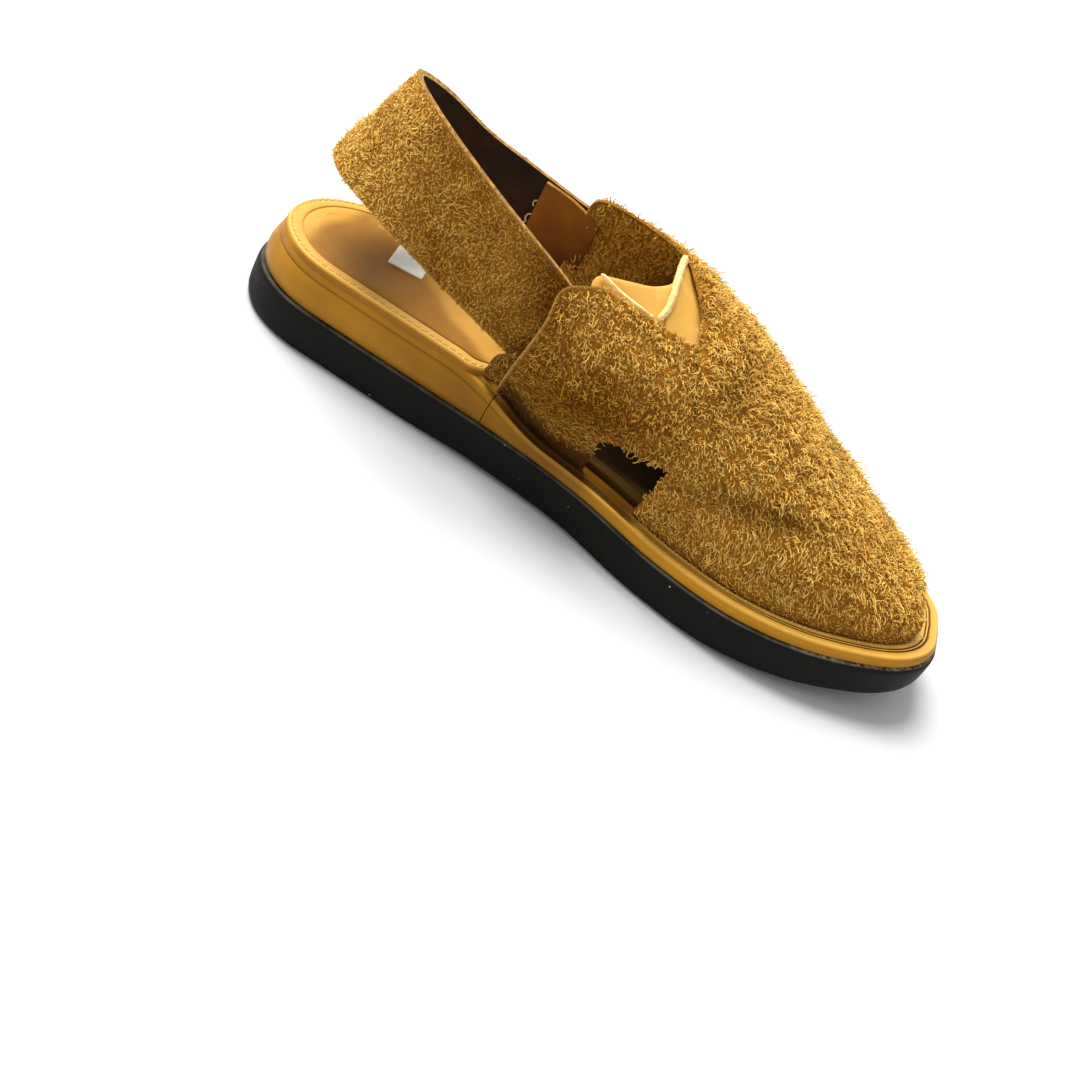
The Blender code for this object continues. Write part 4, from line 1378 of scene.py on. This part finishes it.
# shorter nap on the inside of a wing, near its open edge, in the nap's paler copy at full pale tone: painted
# light
def innerNap(name, hideName, window, longest, density, seed):
    part = hidePart(hideName, window)
    inner = part["inner"][::-1]                           # its faces look into the shoe
    alongWay, aroundWay = edgeWays(inner)
    behind = rowReach(inner)[0]
    marks = {"nap": ease((longest - behind) / 8) * ease(behind / 3),
             **evenMarks(behind, reach=1.0, stand=0.45, shade=0.0, pale=1.0)}
    side = np.sign(part["around"][::-1])[..., None]
    comb = (0.3 + 0.5 * nearEdge(behind, 3))[..., None] * alongWay - 0.3 * aroundWay * side
    nap(name, inner, marks, comb, density, seed, reach=2.8, thick=0.27, coat="innerNap")


for name, row in strapNaps.items():
    strapNap(name, *row)
underlayNap()
for name, row in innerNaps.items():
    innerNap(name, *row)
print("strap nap made")


threads = {
    "thickness": 0.3,
    # loose ends beside the tab, and knots at the toe opening's feet
    "ends": {
        "tabThreadLow": ((76.0, 35.6, 61.5), (74.6, 35.0, 60.9), (74.2, 34.6, 59.4), (75.0, 34.4, 58.2),
                         (74.0, 34.2, 57.2)),
        "tabThreadHigh": ((76.0, 35.4, 67.0), (74.8, 34.9, 66.8), (74.4, 34.7, 65.6), (75.1, 34.5, 64.6)),
        "toeKnotInner": ((272.0, -14.5, 27.4), (273.4, -13.8, 28.0), (274.8, -12.9, 27.5),
                         (276.0, -12.2, 27.0)),
        "toeKnotOuter": ((272.0, 18.5, 27.4), (273.4, 17.8, 28.0), (274.8, 16.9, 27.5),
                         (276.0, 16.2, 27.0)),
    },
}


# how wide a tube is along its length, thin at both ends
def taper(at, run):
    return (ease(at / run) * ease((1 - at) / run)) ** 0.5


def makeThreads():
    turn = np.linspace(0, 2 * math.pi, 9)[:-1]
    at = np.linspace(0, 1, 24)
    for name, stops in threads["ends"].items():
        line = np.stack(smoothPath(stops, at), -1)
        way = unit(np.gradient(line, axis=0))
        side = unit(np.cross(way, (0.3, 0.2, 0.93)))
        size = threads["thickness"] * taper(at, 0.05)[:, None]
        widths = (size * np.cos(turn), size * np.sin(turn))
        settle(tubePiece(name, line, (side, np.cross(side, way)), widths, "thread"), "tan_leather")


heelStrap = {
    "low": ((122.0, -32.8, 36.5), (101.8, -33.4, 43.0), (74.0, -34.6, 50.6), (45.0, -34.0, 58.5),
            (21.0, -21.0, 60.0), (11.0, 0.0, 59.5), (18.5, 21.0, 58.0), (38.0, 34.5, 54.0),
            (62.0, 39.4, 50.0), (93.3, 40.2, 46.5)),
    "top": ((125.0, -28.8, 65.0), (108.4, -29.6, 74.0), (82.0, -32.6, 85.0), (57.0, -32.5, 95.0),
            (37.0, -20.0, 99.0), (28.0, 0.0, 96.5), (34.0, 20.0, 89.5), (49.0, 34.0, 80.5),
            (68.0, 38.4, 77.0), (93.3, 38.4, 75.0)),
    "thickness": 2.8, "hideDepth": 0.7, "split": 1.7, "ripple": 0.35,
    "pale": 0.48, "backLitPale": 0.62, "nearPaleShade": 0.1, "nearShade": 0.22, "cutShare": 0.35,
    "blotches": ((0.3, 24, 73), (0.2, 9, 75)),       # strength, pitch and seed
    "napHalf": 84,       # the row where the inner half of the nap meets the outer half
    "napInner": 1.65, "napOuter": 1.5,
    "napSizes": {"reach": 2.8, "thick": 0.22, "curl": 0.7, "clump": 250.0, "gaps": 4.5},
}


# A band between its low and its top edge. Rows run from the low edge up.
def bandGrid(band, steps, acrossSteps):
    at = np.linspace(0, 1, steps)
    low, top = (np.stack(smoothPath(band[edge], at), -1)[:, None] for edge in ("low", "top"))
    share = edgedShares(acrossSteps, 0.03)[None, :, None]
    outer = low * (1 - share) + top * share
    return outer, unit(np.cross(np.gradient(outer, axis=1), np.gradient(outer, axis=0)))


def makeHeelStrap():
    g = heelStrap
    outer, normal = bandGrid(g, 150, 22)
    ripple = g["ripple"] * waves(outer, 34, 17)[..., None]
    fromLow, fromTop = rowReach(outer)
    edge = np.minimum(fromLow, fromTop)
    cut = nearEdge(edge, 0.8)
    # painted light: paler towards the back, which faces the light; painted shade at the front end on the
    # inner side
    back = ease((75 - outer[..., 0]) / 55)
    near = ease((outer[..., 0] - 84) / 24) * (outer[..., 1] < 0)
    pale = g["pale"] + g["backLitPale"] * back - g["nearPaleShade"] * near
    for strength, pitch, seed in g["blotches"]:
        pale = pale + strength * waves(outer, pitch, seed)
    pale = np.clip(pale, 0, 1)
    shade = g["nearShade"] * near
    skin = outer - normal * (g["hideDepth"] - ripple - 0.35 * cut[..., None])
    split = outer - normal * (g["split"] - 0.5 * ripple)
    piece = slabPiece("heelStrapHide", skin, split, ["suede", "lining", "greigeEdge"],
                      {"cut": g["cutShare"] * cut, "shade": shade, "pale": pale}, 60)
    settle(piece, "shaggy_suede", "heel_strap")
    inside = slabPiece("heelStrapLining", split - normal * 0.12, outer - normal * g["thickness"],
                       ["lining", "lining", "greigeEdge"], None, 60)
    settle(inside, "brown_leather")

    alongWay = edgeWays(skin)[0]          # from the low to the top edge
    rim = (0.4 * nearEdge(fromTop, 1.4) - nearEdge(fromLow, 1.2))[..., None] * alongWay
    flow = -0.25 * alongWay + 0.3 * drift(skin, 16, 60) + 0.5 * rim
    marks = {**evenMarks(cut, nap=1.0, stand=0.27), "reach": 1 - 0.6 * nearEdge(edge, 1.5), "shade": shade,
             "pale": pale}
    half = g["napHalf"]
    for name, part, density, seed in (("heelStrapNapInner", slice(0, half + 1), g["napInner"], 41),
                                      ("heelStrapNapOuter", slice(half, None), g["napOuter"], 42)):
        partMarks = {key: value[part] for key, value in marks.items()}
        nap(name, skin[part], partMarks, flow[part], density, seed, **g["napSizes"])


strapTab = {
    "low": ((75.8, 36.4, 50.0), (88.0, 36.6, 47.4), (100.5, 37.0, 44.6)),
    "top": ((75.8, 35.2, 75.5), (88.0, 35.2, 74.8), (100.5, 35.0, 72.0)),
    "thickness": 2.0, "bow": 0.35, "fadeFrom": 0.35,
}


def makeTab():
    outer, normal = bandGrid(strapTab, 40, 26)
    u, v = np.meshgrid(*(np.linspace(0, 1, steps) for steps in outer.shape[:2]), indexing="ij")
    # painted shade: the tab gets darker towards its low front corner
    fade = ease(0.55 * u + 0.95 * (1 - v) - strapTab["fadeFrom"] + 0.08 * waves(outer, 14, 8))
    inner = outer - normal * (strapTab["thickness"] + strapTab["bow"] * waves(outer, 24, 5)[..., None])
    marks = {"fade": fade, **evenMarks(fade, cut=0.0, shade=0.0, pale=0.5)}
    piece = slabPiece("strapTabLeather", outer, inner, ["suede", "tab", "tabEdge"], marks, 50)
    settle(piece, "brown_leather", "strap_tab")


tongue = {
    "around": (-0.45, -0.37, -0.27, -0.19, -0.11, 0.02, 0.12, 0.20),
    "rear": (0.412, 0.406, 0.436, 0.462, 0.476, 0.482, 0.490, 0.510),
    "front": (0.600, 0.620, 0.635, 0.640, 0.645, 0.650, 0.650, 0.640),
    "depth": 3.9, "thickness": 1.8, "foldShade": 0.9, "foldAt": (0.470, -0.03),
}
# The raised lobe from its free edge forwards, from its peak down to the inner wing, as station and way round.
lobe = {
    "edge": ((0.467, 0.13), (0.471, 0.02), (0.478, -0.11), (0.484, -0.20), (0.490, -0.28), (0.500, -0.36)),
    "front": ((0.585, 0.13), (0.590, 0.02), (0.595, -0.11), (0.600, -0.20), (0.600, -0.28), (0.590, -0.36)),
    "rise": 2.3, "reach": 5.5, "thickness": 1.5,
}


def makeTongue():
    around = divided(tongue["around"], 0.012)[:, None]
    rear, front = (smoothCurve(tongue["around"], tongue[key], around) for key in ("rear", "front"))
    station = rear + (front - rear) * edgedShares(40, 0.01)
    around = np.broadcast_to(around, station.shape)
    base, normal = formPoint(station, around), formNormal(station, around)
    roll = 0.5 * nearEdge(rowReach(base)[0], 0.5)
    outer = base - normal * (tongue["depth"] + roll + 0.15 * waves(base, 14, 2))[..., None]
    inner = base - normal * (tongue["depth"] + tongue["thickness"])
    # a warm shade in the fold beside the raised lobe
    fromFold = np.linalg.norm(base - formPoint(*tongue["foldAt"]), axis=-1)
    fade = tongue["foldShade"] * ease((5.0 - fromFold) / 3.5)
    piece = slabPiece("tongueLeather", outer, inner, ["tongue", "tongue", "creamEdge"], {"fade": fade}, 50)
    settle(piece, "tan_leather", "tongue")

    down = np.linspace(0, 1, 40)[:, None]
    (rearS, rearA), (frontS, frontA) = (smoothPath(lobe[key], down) for key in ("edge", "front"))
    share = edgedShares(26, 0.02)
    station, around = rearS + (frontS - rearS) * share, rearA + (frontA - rearA) * share
    base, normal = formPoint(station, around), formNormal(station, around)
    fromRear = rowReach(base)[0]
    lift = lobe["rise"] * nearEdge(fromRear, lobe["reach"]) * ease(1.25 - down * 0.9)
    under = base - normal * (tongue["depth"] - 0.05 - lift)[..., None]
    over = under + normal * (lobe["thickness"] * (0.45 + 0.55 * ease(fromRear / 0.8 + 0.2)))[..., None]
    piece = slabPiece("tongueLobe", over[::-1], under[::-1], ["tongue", "tongue", "creamEdge"],
                      {"fade": np.zeros_like(station)}, 45)
    settle(piece, "tan_leather")


# stops as station and way round, lift off the form at each, half width, half height and seed
rolls = {
    "tongueFoldEdge": (
        ((0.470, 0.150), (0.474, 0.02), (0.480, -0.114), (0.486, -0.204), (0.489, -0.268), (0.487, -0.335)),
        (-0.6, 0.0, 0.1, -0.2, -0.6, -1.0), 1.25, 1.35, 81),
    "tongueLowerEdge": (
        ((0.408, -0.352), (0.422, -0.350), (0.439, -0.348), (0.455, -0.343), (0.468, -0.338),
         (0.482, -0.335)),
        (-2.6, -2.2, -1.9, -1.8, -1.7, -1.5), 0.75, 0.7, 83),
}


# a rolled cut edge that follows places on the form, thin at both ends
def makeRoll(name, stops, lifts, wide, high, seed):
    at = np.linspace(0, 1, 70)
    station, around = smoothPath(stops, at)
    lift = smoothCurve(np.linspace(0, 1, len(lifts)), lifts, at)
    normal = formNormal(station, around)
    line = formPoint(station, around) + normal * lift[:, None]
    side = np.cross(unit(np.gradient(line, axis=0)), normal)
    turn = np.linspace(0, 2 * math.pi, 17)[:-1]
    size = taper(at, 0.06) * (1 + 0.10 * waves(line, 5, seed))
    ridges = 1 + 0.07 * np.sin(5 * turn + 0.8 * waves(line, 9, seed + 1)[:, None])
    ring = size[:, None] * ridges
    widths = (wide * np.cos(turn) * ring, high * np.sin(turn) * ring)
    settle(tubePiece(name, line, (side, normal), widths, "creamEdge"), "tan_leather")


makeThreads()
makeHeelStrap()
makeTab()
makeTongue()
for name, row in rolls.items():
    makeRoll(name, *row)
print("heel strap, tab and tongue made")

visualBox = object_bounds()
for name, box in (("visual", visualBox), ("cad", cadBox)):
    print(name, "size", [round((high - low) * 1000, 1) for low, high in zip(*box)])
